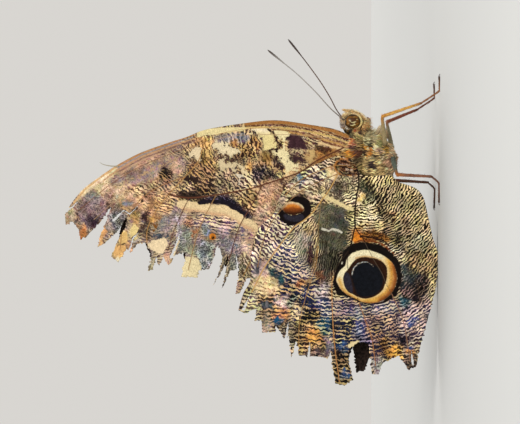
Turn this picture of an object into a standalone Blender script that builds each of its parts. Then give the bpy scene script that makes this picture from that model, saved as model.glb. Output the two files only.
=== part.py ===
"""An owl butterfly at rest with its wings shut over its back: a still, life-size model.

Metres, +Z up, +X towards the head. The animal's right side faces -Y. It stands on the tips of
four legs and on the lower edge of its hindwings, all at Z = 0. Sizes below are in millimetres,
and place() turns them into metres.
"""

import math

import bpy
import bmesh
import numpy as np
from mathutils import Vector
from mathutils.geometry import delaunay_2d_cdt

# Driving sizes, in millimetres
REAR_END = -40.4
FRONT_END = 43.3
MIDDLE = (REAR_END + FRONT_END) / 2
GAP = 0.3
LEG_SPREAD = 15.0

WING_HALF_THICKNESS = 0.25
VEIN_RISE = 0.22
VEIN_HALF_WIDTH = 0.55
VEIN_STEP = 3.6
EDGE_CLEAR = 0.9
FOREWING_OFFSET = 0.75
HINDWING_OFFSET = 2.05
ROOT_SPREAD = 2.3
ROOT_REACH = 9.0

EYE_CENTRE = (22.9, 1.85, 20.35)
EYE_SIZE = (1.7, 1.25, 1.95)

ABDOMEN_FRONT = (8.6, 13.2)
ABDOMEN_TIP = (-16.2, 4.3)
ABDOMEN_RADIUS = 2.9
ABDOMEN_RINGS = 7

ANTENNA_RADII = (0.27, 0.25, 0.25, 0.25, 0.26, 0.42, 0.4, 0.2)

RIGHT, LEFT = -1, 1

# Body sections: place along the body, underside, top and half width
THORAX_SECTIONS = (
    (20.0, 16.6, 21.0, 1.5),
    (19.1, 13.6, 21.6, 2.6),
    (17.5, 11.4, 22.0, 3.4),
    (15.5, 10.2, 22.2, 3.8),
    (13.2, 9.8, 21.7, 3.75),
    (11.2, 10.1, 19.9, 3.2),
    (9.7, 10.8, 17.2, 2.6),
    (8.9, 11.3, 15.6, 2.05),
)
HEAD_SECTIONS = (
    (20.3, 18.3, 22.1, 1.3),
    (20.8, 17.9, 22.7, 1.9),
    (21.8, 17.6, 23.1, 2.25),
    (22.9, 17.7, 23.1, 2.15),
    (23.7, 18.3, 22.7, 1.6),
    (24.2, 19.2, 21.8, 0.9),
)

# Forewing outline, seen from the right: leading edge from root to tip, then the torn outer edge
FORE_LEADING_EDGE = (
    (19.2, 20.8), (20.3, 22.7), (21.3, 25.7), (22.2, 31.0), (23.0, 36.2), (23.2, 40.0),
    (22.8, 44.2), (21.8, 51.2), (20.8, 56.2), (19.2, 60.2), (18.0, 64.0), (15.4, 71.3),
    (12.4, 77.0), (9.8, 80.9), (6.8, 84.9), (3.6, 87.6), (0.8, 89.4),
)
FORE_TORN_EDGE = (
    (-1.9, 89.2), (-1.1, 87.6), (-2.9, 86.1), (-5.5, 85.7), (-4.6, 84.1), (-1.1, 80.8),
    (2.4, 78.3), (-1.1, 79.5), (-4.6, 81.0), (-7.3, 81.6), (-5.5, 78.9), (-3.0, 76.4),
    (0.2, 74.5), (-2.6, 74.9), (-5.6, 76.7), (-9.5, 78.3), (-10.9, 76.6), (-7.6, 74.6),
    (-8.6, 73.7), (-6.4, 71.9), (-6.1, 70.0), (-8.7, 68.6), (-12.9, 69.5), (-12.6, 68.2),
    (-9.3, 67.6), (-11.7, 66.8), (-9.5, 65.8), (-11.6, 64.5), (-9.1, 62.9), (-8.5, 60.3),
    (-14.4, 61.5), (-14.5, 57.5), (-12.8, 57.3), (-12.5, 54.8), (-6.8, 53.4), (-16.6, 53.9),
    (-10.0, 51.7), (-17.2, 51.8), (-12.6, 49.9), (-12.5, 47.6), (-18.5, 48.5), (-18.2, 47.4),
    (-14.8, 45.9),
)
FORE_INNER_EDGE = (
    (-14.5, 43.6), (-8.0, 38.4), (0.0, 32.0), (8.0, 25.6), (13.5, 21.4), (16.2, 20.0),
    (18.0, 19.9),
)

# Hindwing outline: leading edge from root to tip, the torn outer edge, then the inner edge
HIND_LEADING_EDGE = (
    (14.2, 21.6), (14.5, 24.6), (12.2, 30.1), (10.1, 33.7), (7.7, 36.2), (4.2, 38.1),
    (0.6, 39.4), (-1.5, 41.9), (-4.5, 43.6), (-9.0, 44.7), (-15.0, 44.9), (-18.4, 46.6),
    (-22.3, 47.8),
)
HIND_TORN_EDGE = (
    (-23.1, 46.2), (-22.0, 43.4), (-24.9, 44.0), (-24.6, 42.3), (-27.7, 42.1), (-27.6, 38.9),
    (-25.9, 38.8), (-29.4, 36.7), (-28.4, 35.7), (-33.7, 35.1), (-29.2, 33.8), (-33.2, 33.3),
    (-33.5, 28.4), (-34.0, 26.4), (-32.3, 25.7), (-39.9, 24.6), (-40.4, 22.3), (-39.0, 20.2),
    (-35.1, 21.3), (-31.6, 21.2), (-29.9, 19.0), (-30.2, 16.6), (-37.6, 15.8), (-37.8, 14.3),
    (-34.9, 13.2), (-33.2, 9.3), (-36.7, 7.0), (-35.8, 5.2), (-30.9, 4.2), (-24.0, 2.3),
    (-18.0, 0.7),
)
HIND_FLAT_EDGE = ((-13.2, 0.0), (-8.6, 0.0))
HIND_INNER_EDGE = (
    (-5.0, 1.2), (0.4, 2.4), (4.5, 3.4), (6.6, 4.9), (7.6, 7.0), (8.4, 9.5), (9.9, 11.2),
    (10.0, 13.2), (9.8, 16.5), (10.0, 18.2), (11.4, 19.2), (13.2, 19.8),
)

# The left wings are torn in other places, and one strip of the left hindwing outlasts the right's
LEFT_FORE_LEADING_EDGE = (
    (19.2, 20.8), (20.3, 22.7), (21.3, 25.7), (22.1, 31.0), (22.9, 36.2), (23.5, 40.0),
    (23.4, 44.2), (22.5, 51.2), (21.2, 56.2), (19.3, 60.2), (17.9, 64.0), (15.2, 71.3),
    (12.1, 77.0), (9.4, 80.9), (6.2, 84.9), (3.9, 86.5),
)
LEFT_FORE_TORN_EDGE = (
    (1.0, 85.4), (2.2, 83.2), (-1.6, 83.4), (2.6, 79.6), (3.6, 77.4), (-2.8, 79.4),
    (1.6, 75.6), (-6.0, 76.6), (-8.0, 75.4), (-3.2, 72.9), (-5.0, 70.7), (-10.2, 68.6),
    (-6.0, 66.7), (-9.2, 64.4), (-7.0, 61.6), (-12.6, 60.2), (-12.4, 58.4), (-8.6, 56.6),
    (-11.2, 55.0), (-5.2, 52.4), (-12.0, 51.0), (-10.6, 48.4), (-15.6, 47.4), (-14.2, 45.6),
)
LEFT_HIND_TORN_EDGE = (
    (-21.6, 46.0), (-19.6, 43.0), (-23.4, 42.7), (-25.4, 40.6), (-23.4, 37.6), (-26.6, 35.7),
    (-30.2, 33.1), (-31.8, 29.0), (-29.2, 26.2), (-35.2, 24.1), (-34.6, 21.4), (-31.0, 20.3),
    (-37.4, 19.5), (-37.1, 17.6), (-33.6, 16.2), (-34.4, 13.8), (-31.4, 12.1), (-31.0, 9.2),
    (-33.8, 6.7), (-30.9, 4.3), (-24.0, 2.3), (-18.0, 0.7),
)

# Main veins, each from the root outwards
FORE_VEINS = {
    "costa": ((19.6, 23.4), (20.9, 33.7), (21.4, 39.5), (21.1, 46.0), (19.9, 52.5), (18.0, 58.0)),
    "radius": ((18.2, 22.4), (19.6, 33.0), (19.8, 42.0), (19.4, 49.0), (17.8, 56.0),
               (13.2, 64.2), (9.4, 69.5), (5.0, 76.0), (-0.6, 82.4)),
    "radial branch": ((17.8, 56.0), (15.0, 64.5), (11.5, 72.5), (7.0, 79.5), (1.6, 86.0)),
    "cubitus": ((16.6, 22.6), (14.2, 28.3), (10.4, 34.8), (8.4, 39.6), (6.6, 45.8), (5.3, 53.1),
                (4.6, 59.6), (5.4, 64.6)),
    "cross vein": ((5.4, 64.6), (9.6, 60.6), (13.4, 57.4), (17.8, 56.0)),
    "medial one": ((9.6, 60.6), (7.4, 66.5), (4.0, 71.4), (-1.6, 75.2), (-7.8, 76.2)),
    "medial two": ((5.4, 64.6), (2.0, 67.2), (-3.0, 69.6), (-7.4, 69.6)),
    "medial three": ((4.6, 59.6), (0.5, 61.6), (-4.2, 63.6), (-8.0, 64.6)),
    "cubital one": ((5.3, 53.1), (0.4, 55.7), (-4.4, 57.7), (-12.6, 59.8)),
    "cubital two": ((7.7, 41.0), (2.8, 44.0), (-2.5, 47.6), (-10.6, 50.1)),
    "anal": ((15.6, 22.8), (7.0, 30.6), (-1.0, 38.2), (-9.0, 44.0), (-14.2, 46.6)),
}
HIND_VEINS = {
    "humeral": ((12.4, 21.4), (12.0, 25.8), (9.0, 32.6), (5.2, 36.6)),
    "radius": ((10.6, 23.4), (8.2, 28.9), (5.5, 33.7), (1.2, 38.0), (-4.0, 41.3), (-12.0, 43.2)),
    "medial one": ((10.6, 23.4), (6.5, 26.0), (1.2, 29.9), (-2.5, 34.5), (-8.5, 38.8),
                   (-18.0, 43.2)),
    "medial two": ((4.0, 27.9), (-7.0, 29.2), (-15.0, 31.6), (-22.0, 35.4), (-26.6, 39.6)),
    "medial three": ((-3.0, 28.6), (-14.0, 29.3), (-24.0, 31.2), (-32.2, 32.2)),
    "cubitus": ((11.4, 20.0), (6.5, 19.3), (-2.3, 19.6), (-7.4, 21.1), (-13.0, 24.0),
                (-18.0, 25.3), (-28.0, 25.0), (-38.8, 23.4)),
    "cubital one": ((-8.0, 21.6), (-15.0, 21.4), (-22.0, 18.6), (-29.2, 15.6), (-35.6, 14.9)),
    "cubital two": ((-2.3, 19.6), (-5.8, 17.6), (-11.9, 14.3), (-19.0, 11.2), (-26.0, 8.6),
                    (-34.6, 6.8)),
    "anal": ((10.6, 18.6), (6.5, 14.9), (0.0, 11.6), (-9.0, 7.6), (-18.0, 4.6), (-27.0, 4.6)),
}

# Legs: hip, knee, ankle and the foot laid on the floor, for the right side
MID_LEG = ((17.4, 2.0, 12.6), (23.9, 9.4, 13.6), (27.0, 12.6, 4.4), (29.6, 13.9, 0.6),
           (33.2, LEG_SPREAD, 0.2))
HIND_LEG = ((14.3, 1.5, 10.9), (10.1, 7.9, 10.0), (9.6, 11.4, 1.9), (8.2, 12.1, 0.45),
            (3.4, 14.0, 0.2))
MID_LEG_SHIFT = {RIGHT: (0.0, 0.0), LEFT: (-1.0, -1.2)}
HIND_LEG_SHIFT = {RIGHT: (0.0, 0.0), LEFT: (-1.2, 0.6)}
FEMUR_RADII = (0.62, 0.66, 0.42)
TIBIA_RADII = (0.42, 0.42, 0.34)
FOOT_SEGMENTS = 5
FOOT_RADII = (0.27, 0.34)
FOOT_HEIGHT = 0.2
LEG_SIDES = 8


def place(x, y, z):
    """A point in millimetres as a point in the model, in metres."""
    return Vector(((x - MIDDLE) * 0.001, y * 0.001, z * 0.001))


def material(name, colour, roughness, metallic=0.0):
    made = bpy.data.materials.new(name)
    made.use_nodes = True
    surface = made.node_tree.nodes["Principled BSDF"]
    surface.inputs["Base Color"].default_value = (*colour, 1.0)
    surface.inputs["Roughness"].default_value = roughness
    surface.inputs["Metallic"].default_value = metallic
    made.diffuse_color = (*colour, 1.0)
    return made


def make_object(name, points, faces, surface):
    """One closed body from points in millimetres, its faces turned outwards."""
    mesh = bpy.data.meshes.new(name)
    mesh.from_pydata([place(*point) for point in points], [], faces)
    work = bmesh.new()
    work.from_mesh(mesh)
    bmesh.ops.recalc_face_normals(work, faces=work.faces)
    work.to_mesh(mesh)
    work.free()
    mesh.shade_smooth()
    mesh.set_sharp_from_angle(angle=math.radians(40))
    made = bpy.data.objects.new(name, mesh)
    bpy.context.scene.collection.objects.link(made)
    if surface:
        mesh.materials.append(surface)
    return made


def make_cutter(name, points, faces):
    cutter = make_object(name, points, faces, None)
    cutter.hide_render = True
    cutter.display_type = "WIRE"
    return cutter


def cut_with(body, cutter):
    cut = body.modifiers.new("Cut", "BOOLEAN")
    cut.operation = "DIFFERENCE"
    cut.object = cutter


def skin_rings(rings):
    """Points and faces of a tube through rings of equal count, with flat ends."""
    sides = len(rings[0])
    points = [point for ring in rings for point in ring]
    faces = []
    for row in range(len(rings) - 1):
        for side in range(sides):
            along = (side + 1) % sides
            faces.append((row * sides + side, row * sides + along,
                          (row + 1) * sides + along, (row + 1) * sides + side))
    faces.append(tuple(range(sides))[::-1])
    faces.append(tuple((len(rings) - 1) * sides + side for side in range(sides)))
    return points, faces


def curve_through(points, step):
    """Points about a step apart on a smooth curve through the given ones, both ends included."""
    given = [np.array(point, float) for point in points]
    ends = [2 * given[0] - given[1]] + given + [2 * given[-1] - given[-2]]
    found = []
    for before, start, stop, after in zip(ends, ends[1:], ends[2:], ends[3:]):
        count = max(1, round(float(np.linalg.norm(stop - start)) / step))
        for part in range(count):
            t = part / count
            found.append(0.5 * (2 * start + (stop - before) * t
                                + (2 * before - 5 * start + 4 * stop - after) * t ** 2
                                + (3 * start - before - 3 * stop + after) * t ** 3))
    found.append(given[-1])
    return found


def sections(stations, sides, more=0.0):
    """Upright rings of a body part, each wider by more, and longer by more at both ends."""
    rings = []
    for index, (x, low, high, half_width) in enumerate(stations):
        shift = {0: 1, len(stations) - 1: -1}.get(index, 0) * math.copysign(
            more, stations[0][0] - stations[-1][0])
        middle, half_height = (low + high) / 2, (high - low) / 2
        ring = []
        for side in range(sides):
            turn = 2 * math.pi * side / sides
            ring.append((x + shift, (half_width + more) * math.cos(turn),
                         middle + (half_height + more) * math.sin(turn)))
        rings.append(ring)
    return skin_rings(rings)


def half_width_at(stations, x, z):
    """How far a body part made of upright sections reaches from its middle at a place."""
    ordered = np.array(sorted(stations))
    if not ordered[0, 0] < x < ordered[-1, 0]:
        return 0.0
    low, high, wide = (np.interp(x, ordered[:, 0], ordered[:, column]) for column in (1, 2, 3))
    inside = 1 - ((z - (low + high) / 2) / ((high - low) / 2)) ** 2
    return wide * math.sqrt(max(0.0, inside))


def tube(points, radii, sides, squash=1.0, first_cut=None, last_cut=None, floor=False):
    """A tube through points, with its radius given along it and flat ends square to the cuts."""
    centres = [Vector(point) for point in points]
    rings = []
    last = len(centres) - 1
    for index, centre in enumerate(centres):
        ahead = centres[min(index + 1, last)] - centres[max(index - 1, 0)]
        ahead.normalize()
        across = Vector((0, 1, 0)) - ahead * ahead.y
        across.normalize()
        up = ahead.cross(across)
        radius = float(np.interp(index / last, np.linspace(0, 1, len(radii)), radii))
        cut = first_cut if index == 0 else last_cut if index == last else None
        ring = []
        for side in range(sides):
            turn = 2 * math.pi * (side + 0.5) / sides
            point = centre + radius * (across * math.cos(turn) * squash + up * math.sin(turn))
            if cut:
                normal = Vector(cut).normalized()
                point -= ahead * (point - centre).dot(normal) / ahead.dot(normal)
            if floor:
                point.z = max(point.z, 0.0)
            ring.append(tuple(point))
        rings.append(ring)
    return skin_rings(rings)


def ball(centre, size, across, around, more=0.0):
    """A closed egg shape, its poles at the sides of the body."""
    points = [(centre[0], centre[1] + way * (size[1] + more), centre[2]) for way in (-1, 1)]
    for row in range(1, across):
        lean = math.pi * row / across
        for side in range(around):
            turn = 2 * math.pi * side / around
            points.append((centre[0] + (size[0] + more) * math.sin(lean) * math.cos(turn),
                           centre[1] - (size[1] + more) * math.cos(lean),
                           centre[2] + (size[2] + more) * math.sin(lean) * math.sin(turn)))
    faces = []
    for side in range(around):
        along = (side + 1) % around
        faces.append((0, 2 + side, 2 + along))
        top = 2 + (across - 2) * around
        faces.append((1, top + along, top + side))
        for row in range(across - 2):
            low, high = 2 + row * around, 2 + (row + 1) * around
            faces.append((low + side, high + side, high + along, low + along))
    return points, faces


def distance_to_lines(point, lines):
    """The distance in the wing's plane to the nearest of some bent lines."""
    nearest = math.inf
    for line in lines:
        for start, stop in zip(line, line[1:]):
            run = stop - start
            part = np.clip(np.dot(point - start, run) / max(np.dot(run, run), 1e-12), 0, 1)
            nearest = min(nearest, float(np.linalg.norm(point - start - run * part)))
    return nearest


def inside_outline(point, outline):
    inside = False
    for (x1, z1), (x2, z2) in zip(outline, np.roll(outline, -1, axis=0)):
        if (z1 > point[1]) != (z2 > point[1]):
            if point[0] < x1 + (point[1] - z1) / (z2 - z1) * (x2 - x1):
                inside = not inside
    return inside


def abdomen_distance(x, z):
    """How far a place is from the line of the abdomen, and how far along it, from 0 to 1."""
    start, run = np.array(ABDOMEN_FRONT), np.array(ABDOMEN_TIP) - np.array(ABDOMEN_FRONT)
    part = float(np.clip(np.dot((x, z) - start, run) / np.dot(run, run), 0, 1))
    return float(np.linalg.norm((x, z) - start - run * part)), part


def spread_at_root(x, z):
    """The wings stand apart at their roots, where the thorax is between them."""
    return ROOT_SPREAD * math.exp(-((x - 17.0) ** 2 + (z - 20.0) ** 2) / ROOT_REACH ** 2)


def forewing_depth(x, z):
    return FOREWING_OFFSET + spread_at_root(x, z)


def hindwing_depth(x, z):
    """Outside the forewing, and bulging round the abdomen."""
    away, part = abdomen_distance(x, z)
    bulge = 2.1 * (1 - 0.45 * part ** 2) * math.exp(-(away / 3.0) ** 2)
    return HINDWING_OFFSET + spread_at_root(x, z) * (1 - math.exp(-(away / 3.0) ** 2)) + bulge


def wing_lines(veins, outline):
    """The veins as bent lines that stay clear of the torn edge."""
    edge = [np.vstack([outline, outline[:1]])]
    lines = []
    for route in veins.values():
        line = []
        for point in curve_through(route, VEIN_STEP):
            if not inside_outline(point, outline) or distance_to_lines(point, edge) < EDGE_CLEAR:
                break
            line.append(point)
        if len(line) > 1:
            lines.append(np.array(line))
    return lines


def bulge_places():
    """Rows of places along the abdomen, where the hindwings curve round it."""
    start, run = np.array(ABDOMEN_FRONT), np.array(ABDOMEN_TIP) - np.array(ABDOMEN_FRONT)
    length = np.linalg.norm(run)
    across = np.array((-run[1], run[0])) / length
    return [start + run * (step / 9) + across * away
            for step in range(10) for away in (-4.6, -3.1, -1.6, 0.0, 1.6, 3.1, 4.6)]


def open_places():
    """A wide grid of places for the flat parts of a wing."""
    spacing = 6.0
    return [np.array((column * spacing + 1.5 * (row % 2), row * spacing + 1.0))
            for column in range(-8, 5) for row in range(16)]


def wing_points(outline, lines):
    """Every point of the wing's flat plan, and the edges that the triangles keep to."""
    edge = [np.vstack([outline, outline[:1]])]
    points = [np.array(point) for point in outline]
    edges = [(index, (index + 1) % len(points)) for index in range(len(points))]
    for line in lines:
        for index, point in enumerate(line):
            points.append(point)
            if index:
                edges.append((len(points) - 2, len(points) - 1))
    for line in lines:
        for start, stop in zip(line, line[1:]):
            run = (stop - start) / np.linalg.norm(stop - start)
            for way in (-1, 1):
                point = (start + stop) / 2 + way * VEIN_HALF_WIDTH * np.array((-run[1], run[0]))
                clear = min(distance_to_lines(point, lines), distance_to_lines(point, edge))
                if clear > 0.8 * VEIN_HALF_WIDTH and inside_outline(point, outline):
                    points.append(point)
    for point, room in [(point, 0.7) for point in bulge_places()] + [
            (point, 2.2) for point in open_places()]:
        if inside_outline(point, outline):
            if min(distance_to_lines(point, lines), distance_to_lines(point, edge)) > room:
                points.append(point)
    return points, edges


def wing(name, outline, veins, side, depth, surface):
    """A thin sheet with a torn edge, alike on both faces, its veins raised in both."""
    outline = np.array(outline)
    lines = wing_lines(veins, outline)
    points, edges = wing_points(outline, lines)
    plan, _, triangles, *_ = delaunay_2d_cdt(
        [Vector(point) for point in points], edges, [list(range(len(outline)))], 1, 1e-4)
    outer, inner = [], []
    for x, z in plan:
        rise = VEIN_RISE * max(0.0, 1 - distance_to_lines(np.array((x, z)), lines) / VEIN_HALF_WIDTH)
        half = WING_HALF_THICKNESS + rise
        body = half_width_at(THORAX_SECTIONS, x, z)
        middle = max(depth(x, z), body + GAP + half if body else 0.0)
        outer.append((x, side * (middle + half), z))
        inner.append((x, side * (middle - half), z))
    count = len(plan)
    faces = []
    borders = {}
    for corners in triangles:
        faces.append(tuple(corners))
        faces.append(tuple(count + corner for corner in reversed(corners)))
        for start, stop in zip(corners, corners[1:] + corners[:1]):
            if (stop, start) in borders:
                del borders[(stop, start)]
            else:
                borders[(start, stop)] = True
    for start, stop in borders:
        faces.append((stop, start, count + start))
        faces.append((stop, count + start, count + stop))
    return make_object(name, outer + inner, faces, surface)


def wings(membrane_fore, membrane_hind):
    for side, word in ((RIGHT, "right"), (LEFT, "left")):
        right = side == RIGHT
        leading = curve_through(FORE_LEADING_EDGE if right else LEFT_FORE_LEADING_EDGE, 5.0)
        torn = FORE_TORN_EDGE if right else LEFT_FORE_TORN_EDGE
        inner = curve_through(FORE_INNER_EDGE, 6.0)
        outline = [*leading, *torn, *inner]
        wing(f"forewing_{word}", outline, FORE_VEINS, side, forewing_depth, membrane_fore)

        leading = curve_through(HIND_LEADING_EDGE, 5.0)
        torn = HIND_TORN_EDGE if right else LEFT_HIND_TORN_EDGE
        inner = curve_through(HIND_INNER_EDGE, 4.0)
        outline = [*leading, *torn, *HIND_FLAT_EDGE, *inner]
        wing(f"hindwing_{word}", outline, HIND_VEINS, side, hindwing_depth, membrane_hind)


def thorax(fur):
    make_object("thorax", *sections(THORAX_SECTIONS, 20), fur)
    return make_cutter("thorax_clearance", *sections(THORAX_SECTIONS, 20, GAP))


def head(fur, facets):
    body = make_object("head", *sections(HEAD_SECTIONS, 18), fur)
    for side, word in ((RIGHT, "right"), (LEFT, "left")):
        centre = (EYE_CENTRE[0], side * EYE_CENTRE[1], EYE_CENTRE[2])
        make_object(f"eye_{word}", *ball(centre, EYE_SIZE, 9, 16), facets)
        cut_with(body, make_cutter(f"eye_socket_{word}", *ball(centre, EYE_SIZE, 9, 16, GAP)))
    return make_cutter("head_clearance", *sections(HEAD_SECTIONS, 18, GAP))


def abdomen(fur):
    """Seven rings, tapering to the tip, along a line that slopes down to the rear."""
    front = Vector((ABDOMEN_FRONT[0], 0, ABDOMEN_FRONT[1]))
    tip = Vector((ABDOMEN_TIP[0], 0, ABDOMEN_TIP[1]))
    steps = ABDOMEN_RINGS * 4
    points, radii = [], []
    for step in range(steps + 1):
        part = step / steps
        taper = ABDOMEN_RADIUS * min(1.0, 0.72 + 1.6 * part) * (1 - part ** 4) ** 0.5
        ring = 1 - 0.06 * (0.5 + 0.5 * math.cos(2 * math.pi * ABDOMEN_RINGS * part))
        points.append(front.lerp(tip, part))
        radii.append(max(0.35, taper * ring))
    make_object("abdomen", *tube(points, radii, 16, first_cut=(1, 0, 0)), fur)


def palps(fur, clearance):
    """Two upturned mouth feelers, flattened from side to side."""
    route = ((21.9, 17.6), (23.0, 17.2), (24.4, 18.3), (25.25, 19.9), (25.5, 21.2), (25.75, 22.5))
    for side, word in ((RIGHT, "right"), (LEFT, "left")):
        points = [(x, side * 1.0, z) for x, z in curve_through(route, 0.8)]
        shape = tube(points, (0.6, 0.7, 0.72, 0.6, 0.1), 10, squash=0.62)
        cut_with(make_object(f"palp_{word}", *shape, fur), clearance)


def proboscis(horn, clearance):
    """The tongue, rolled up like a watch spring between the palps."""
    centre, turns, steps = (22.75, 16.55), 1.25, 22
    points = [(23.75, 0.0, 18.6)]
    for step in range(steps + 1):
        part = step / steps
        turn = 2 * math.pi * turns * part
        reach = 1.05 - 0.72 * part
        points.append((centre[0] + reach * math.cos(turn), 0.0, centre[1] - reach * math.sin(turn)))
    shape = tube(points, (0.25, 0.25, 0.22), 6)
    cut_with(make_object("proboscis", *shape, horn), clearance)


def antennae(horn, clearance):
    """Long thin feelers that thicken into a slim club."""
    near = ((23.4, -0.9, 22.6), (26.0, -1.9, 25.7), (30.0, -3.6, 29.4), (34.0, -5.4, 33.6),
            (37.0, -6.8, 37.3), (39.8, -8.0, 40.9))
    far = ((23.4, 0.9, 22.4), (25.6, 1.8, 24.1), (28.9, 3.3, 25.8), (33.0, 5.0, 28.3),
           (38.0, 6.8, 31.9), (FRONT_END - ANTENNA_RADII[-1], 8.5, 35.8))
    for route, word in ((near, "right"), (far, "left")):
        points = curve_through(route, 2.2)
        shape = tube(points, ANTENNA_RADII, 6)
        cut_with(make_object(f"antenna_{word}", *shape, horn), clearance)


def split_at(before, joint, after):
    """The two facing ends at a joint, half a gap to each side of the plane that halves it."""
    before, joint, after = Vector(before), Vector(joint), Vector(after)
    normal = ((joint - before).normalized() + (after - joint).normalized()).normalized()
    into, out = (joint - before).normalized(), (after - joint).normalized()
    first = joint - into * (GAP / 2) / into.dot(normal)
    second = joint + out * (GAP / 2) / out.dot(normal)
    return first, second, normal


def leg(prefix, word, side, route, shift, horn, clearance):
    """Thigh, shin and foot, with the foot's segments laid flat on the floor."""
    ahead, up = shift
    hip, knee, ankle, heel, toe = (Vector((x + ahead, side * y, z)) for x, y, z in route)
    hip.z += up
    knee.z += up
    thigh_end, shin_start, knee_plane = split_at(hip, knee, ankle)
    shin_end, foot_start, ankle_plane = split_at(knee, ankle, heel)
    thigh = [hip, hip.lerp(thigh_end, 0.5), thigh_end]
    shape = tube(thigh, FEMUR_RADII, LEG_SIDES, last_cut=knee_plane)
    cut_with(make_object(f"{prefix}_femur_{word}", *shape, horn), clearance)

    shin = [shin_start, shin_start.lerp(shin_end, 0.5), shin_end]
    shape = tube(shin, TIBIA_RADII, LEG_SIDES, first_cut=knee_plane, last_cut=ankle_plane)
    make_object(f"{prefix}_tibia_{word}", *shape, horn)

    foot = [foot_start]
    for step in range(2 * FOOT_SEGMENTS + 1):
        point = heel.lerp(toe, step / (2 * FOOT_SEGMENTS))
        foot.append(Vector((point.x, point.y, point.z if step == 0 else FOOT_HEIGHT)))
    radii = [FOOT_RADII[step % 2] for step in range(len(foot))]
    shape = tube(foot, radii, LEG_SIDES, first_cut=ankle_plane, floor=True)
    make_object(f"{prefix}_tarsus_{word}", *shape, horn)


def legs(horn, clearance):
    for side, word in ((RIGHT, "right"), (LEFT, "left")):
        leg("midleg", word, side, MID_LEG, MID_LEG_SHIFT[side], horn, clearance)
        leg("hindleg", word, side, HIND_LEG, HIND_LEG_SHIFT[side], horn, clearance)
        route = ((18.2, 1.7, 15.4), (20.4, 2.0, 14.3), (21.4, 2.0, 13.7), (20.6, 1.9, 12.6),
                 (19.3, 1.8, 12.0))
        points = [(x, side * y, z) for x, y, z in curve_through(route, 1.0)]
        shape = tube(points, (0.45, 0.42, 0.36, 0.26), 6)
        cut_with(make_object(f"foreleg_{word}", *shape, horn), clearance)


def build():
    for old in list(bpy.data.objects):
        bpy.data.objects.remove(old)
    fur = material("body_fur", (0.22, 0.15, 0.08), 0.9)
    facets = material("eye_facets", (0.14, 0.07, 0.01), 0.2)
    horn = material("leg_horn", (0.34, 0.20, 0.09), 0.6)
    membrane_fore = material("forewing_scales", (0.50, 0.38, 0.20), 0.85)
    membrane_hind = material("hindwing_scales", (0.28, 0.22, 0.16), 0.85)
    thorax_clearance = thorax(fur)
    head_clearance = head(fur, facets)
    abdomen(fur)
    palps(fur, head_clearance)
    proboscis(horn, head_clearance)
    antennae(horn, head_clearance)
    legs(horn, thorax_clearance)
    wings(membrane_fore, membrane_hind)


build()
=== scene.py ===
"""An owl butterfly at rest with its wings shut: how it looks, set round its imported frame.

Metres, +Z up, +X towards the head, and the right side faces -Y. The sizes below are in
millimetres in the plan of the closed wings: first forward, then up.
"""

import math

import bpy
import numpy as np
from mathutils import Matrix, Vector
from mathutils.geometry import delaunay_2d_cdt


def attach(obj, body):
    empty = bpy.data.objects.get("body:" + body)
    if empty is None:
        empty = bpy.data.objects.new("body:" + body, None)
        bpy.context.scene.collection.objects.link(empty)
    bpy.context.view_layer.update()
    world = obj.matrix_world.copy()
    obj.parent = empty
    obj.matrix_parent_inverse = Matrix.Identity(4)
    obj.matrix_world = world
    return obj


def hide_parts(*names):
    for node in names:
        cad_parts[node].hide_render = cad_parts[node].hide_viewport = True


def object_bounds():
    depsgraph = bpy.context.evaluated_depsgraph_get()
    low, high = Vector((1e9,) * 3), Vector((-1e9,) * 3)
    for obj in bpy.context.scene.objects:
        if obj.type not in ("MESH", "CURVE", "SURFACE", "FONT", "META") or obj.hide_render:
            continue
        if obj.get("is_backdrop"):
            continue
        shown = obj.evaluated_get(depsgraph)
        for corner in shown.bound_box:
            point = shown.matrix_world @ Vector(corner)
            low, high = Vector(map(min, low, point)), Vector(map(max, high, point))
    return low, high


# Sizes in millimetres
REAR_END, FRONT_END = -40.4, 43.3
MIDDLE = (REAR_END + FRONT_END) / 2
RIGHT, LEFT = -1, 1
SIDES = ((RIGHT, "right"), (LEFT, "left"))
GRID, ROW_SHARE = 0.32, 0.866  # spacing of a wing's points, and of their rows as a share of it
GRID_SHAKE, VEIN_ROOM = 0.04, 0.12  # how far a point strays, and how far it keeps from a vein's line
SHEET = 0.06  # half a wing's thickness
RIPPLE_CELL = 3.4
VEIN_RISE, VEIN_HALF_WIDTH = 0.13, 0.36
EDGE_STEP, EDGE_JAG = 0.3, 0.16  # spacing and height of the small teeth on a torn edge
FLOOR_LEVEL = 0.0
FOREWING_OFFSET, HINDWING_OFFSET = 0.75, 2.05
ROOT_SPREAD, ROOT_REACH, ROOT_PLACE = 2.3, 9.0, (17, 20)  # how the wings part at their roots
COAT = 0.4  # how deep the skin lies under the coat
SKIN_VOXEL = 0.22
EYE_CENTRE, EYE_SIZE = (22.9, 1.85, 20.35), (1.7, 1.25, 1.95)
# Middle of the eye's painted highlight, a patch of pale glints laid into its colour
EYE_PAINTED_GLINTS = (22.5, 0.0, 20.4)
ABDOMEN_FRONT, ABDOMEN_TIP, ABDOMEN_RADIUS = (8.6, 13.2), (-16.2, 4.3), 2.9
FLOOR_RADIUS = 600.0
CAMERA_DISTANCE, FRAME_WIDTH, FRAME_MIDDLE = 1000.0, 124.8, (1.2, 42.6)
FAR = 9.0  # a distance that counts as out of reach
NO_MARK = 5.0  # the distance kept where there is no mark
LUMP_TABLE = 64

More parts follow.
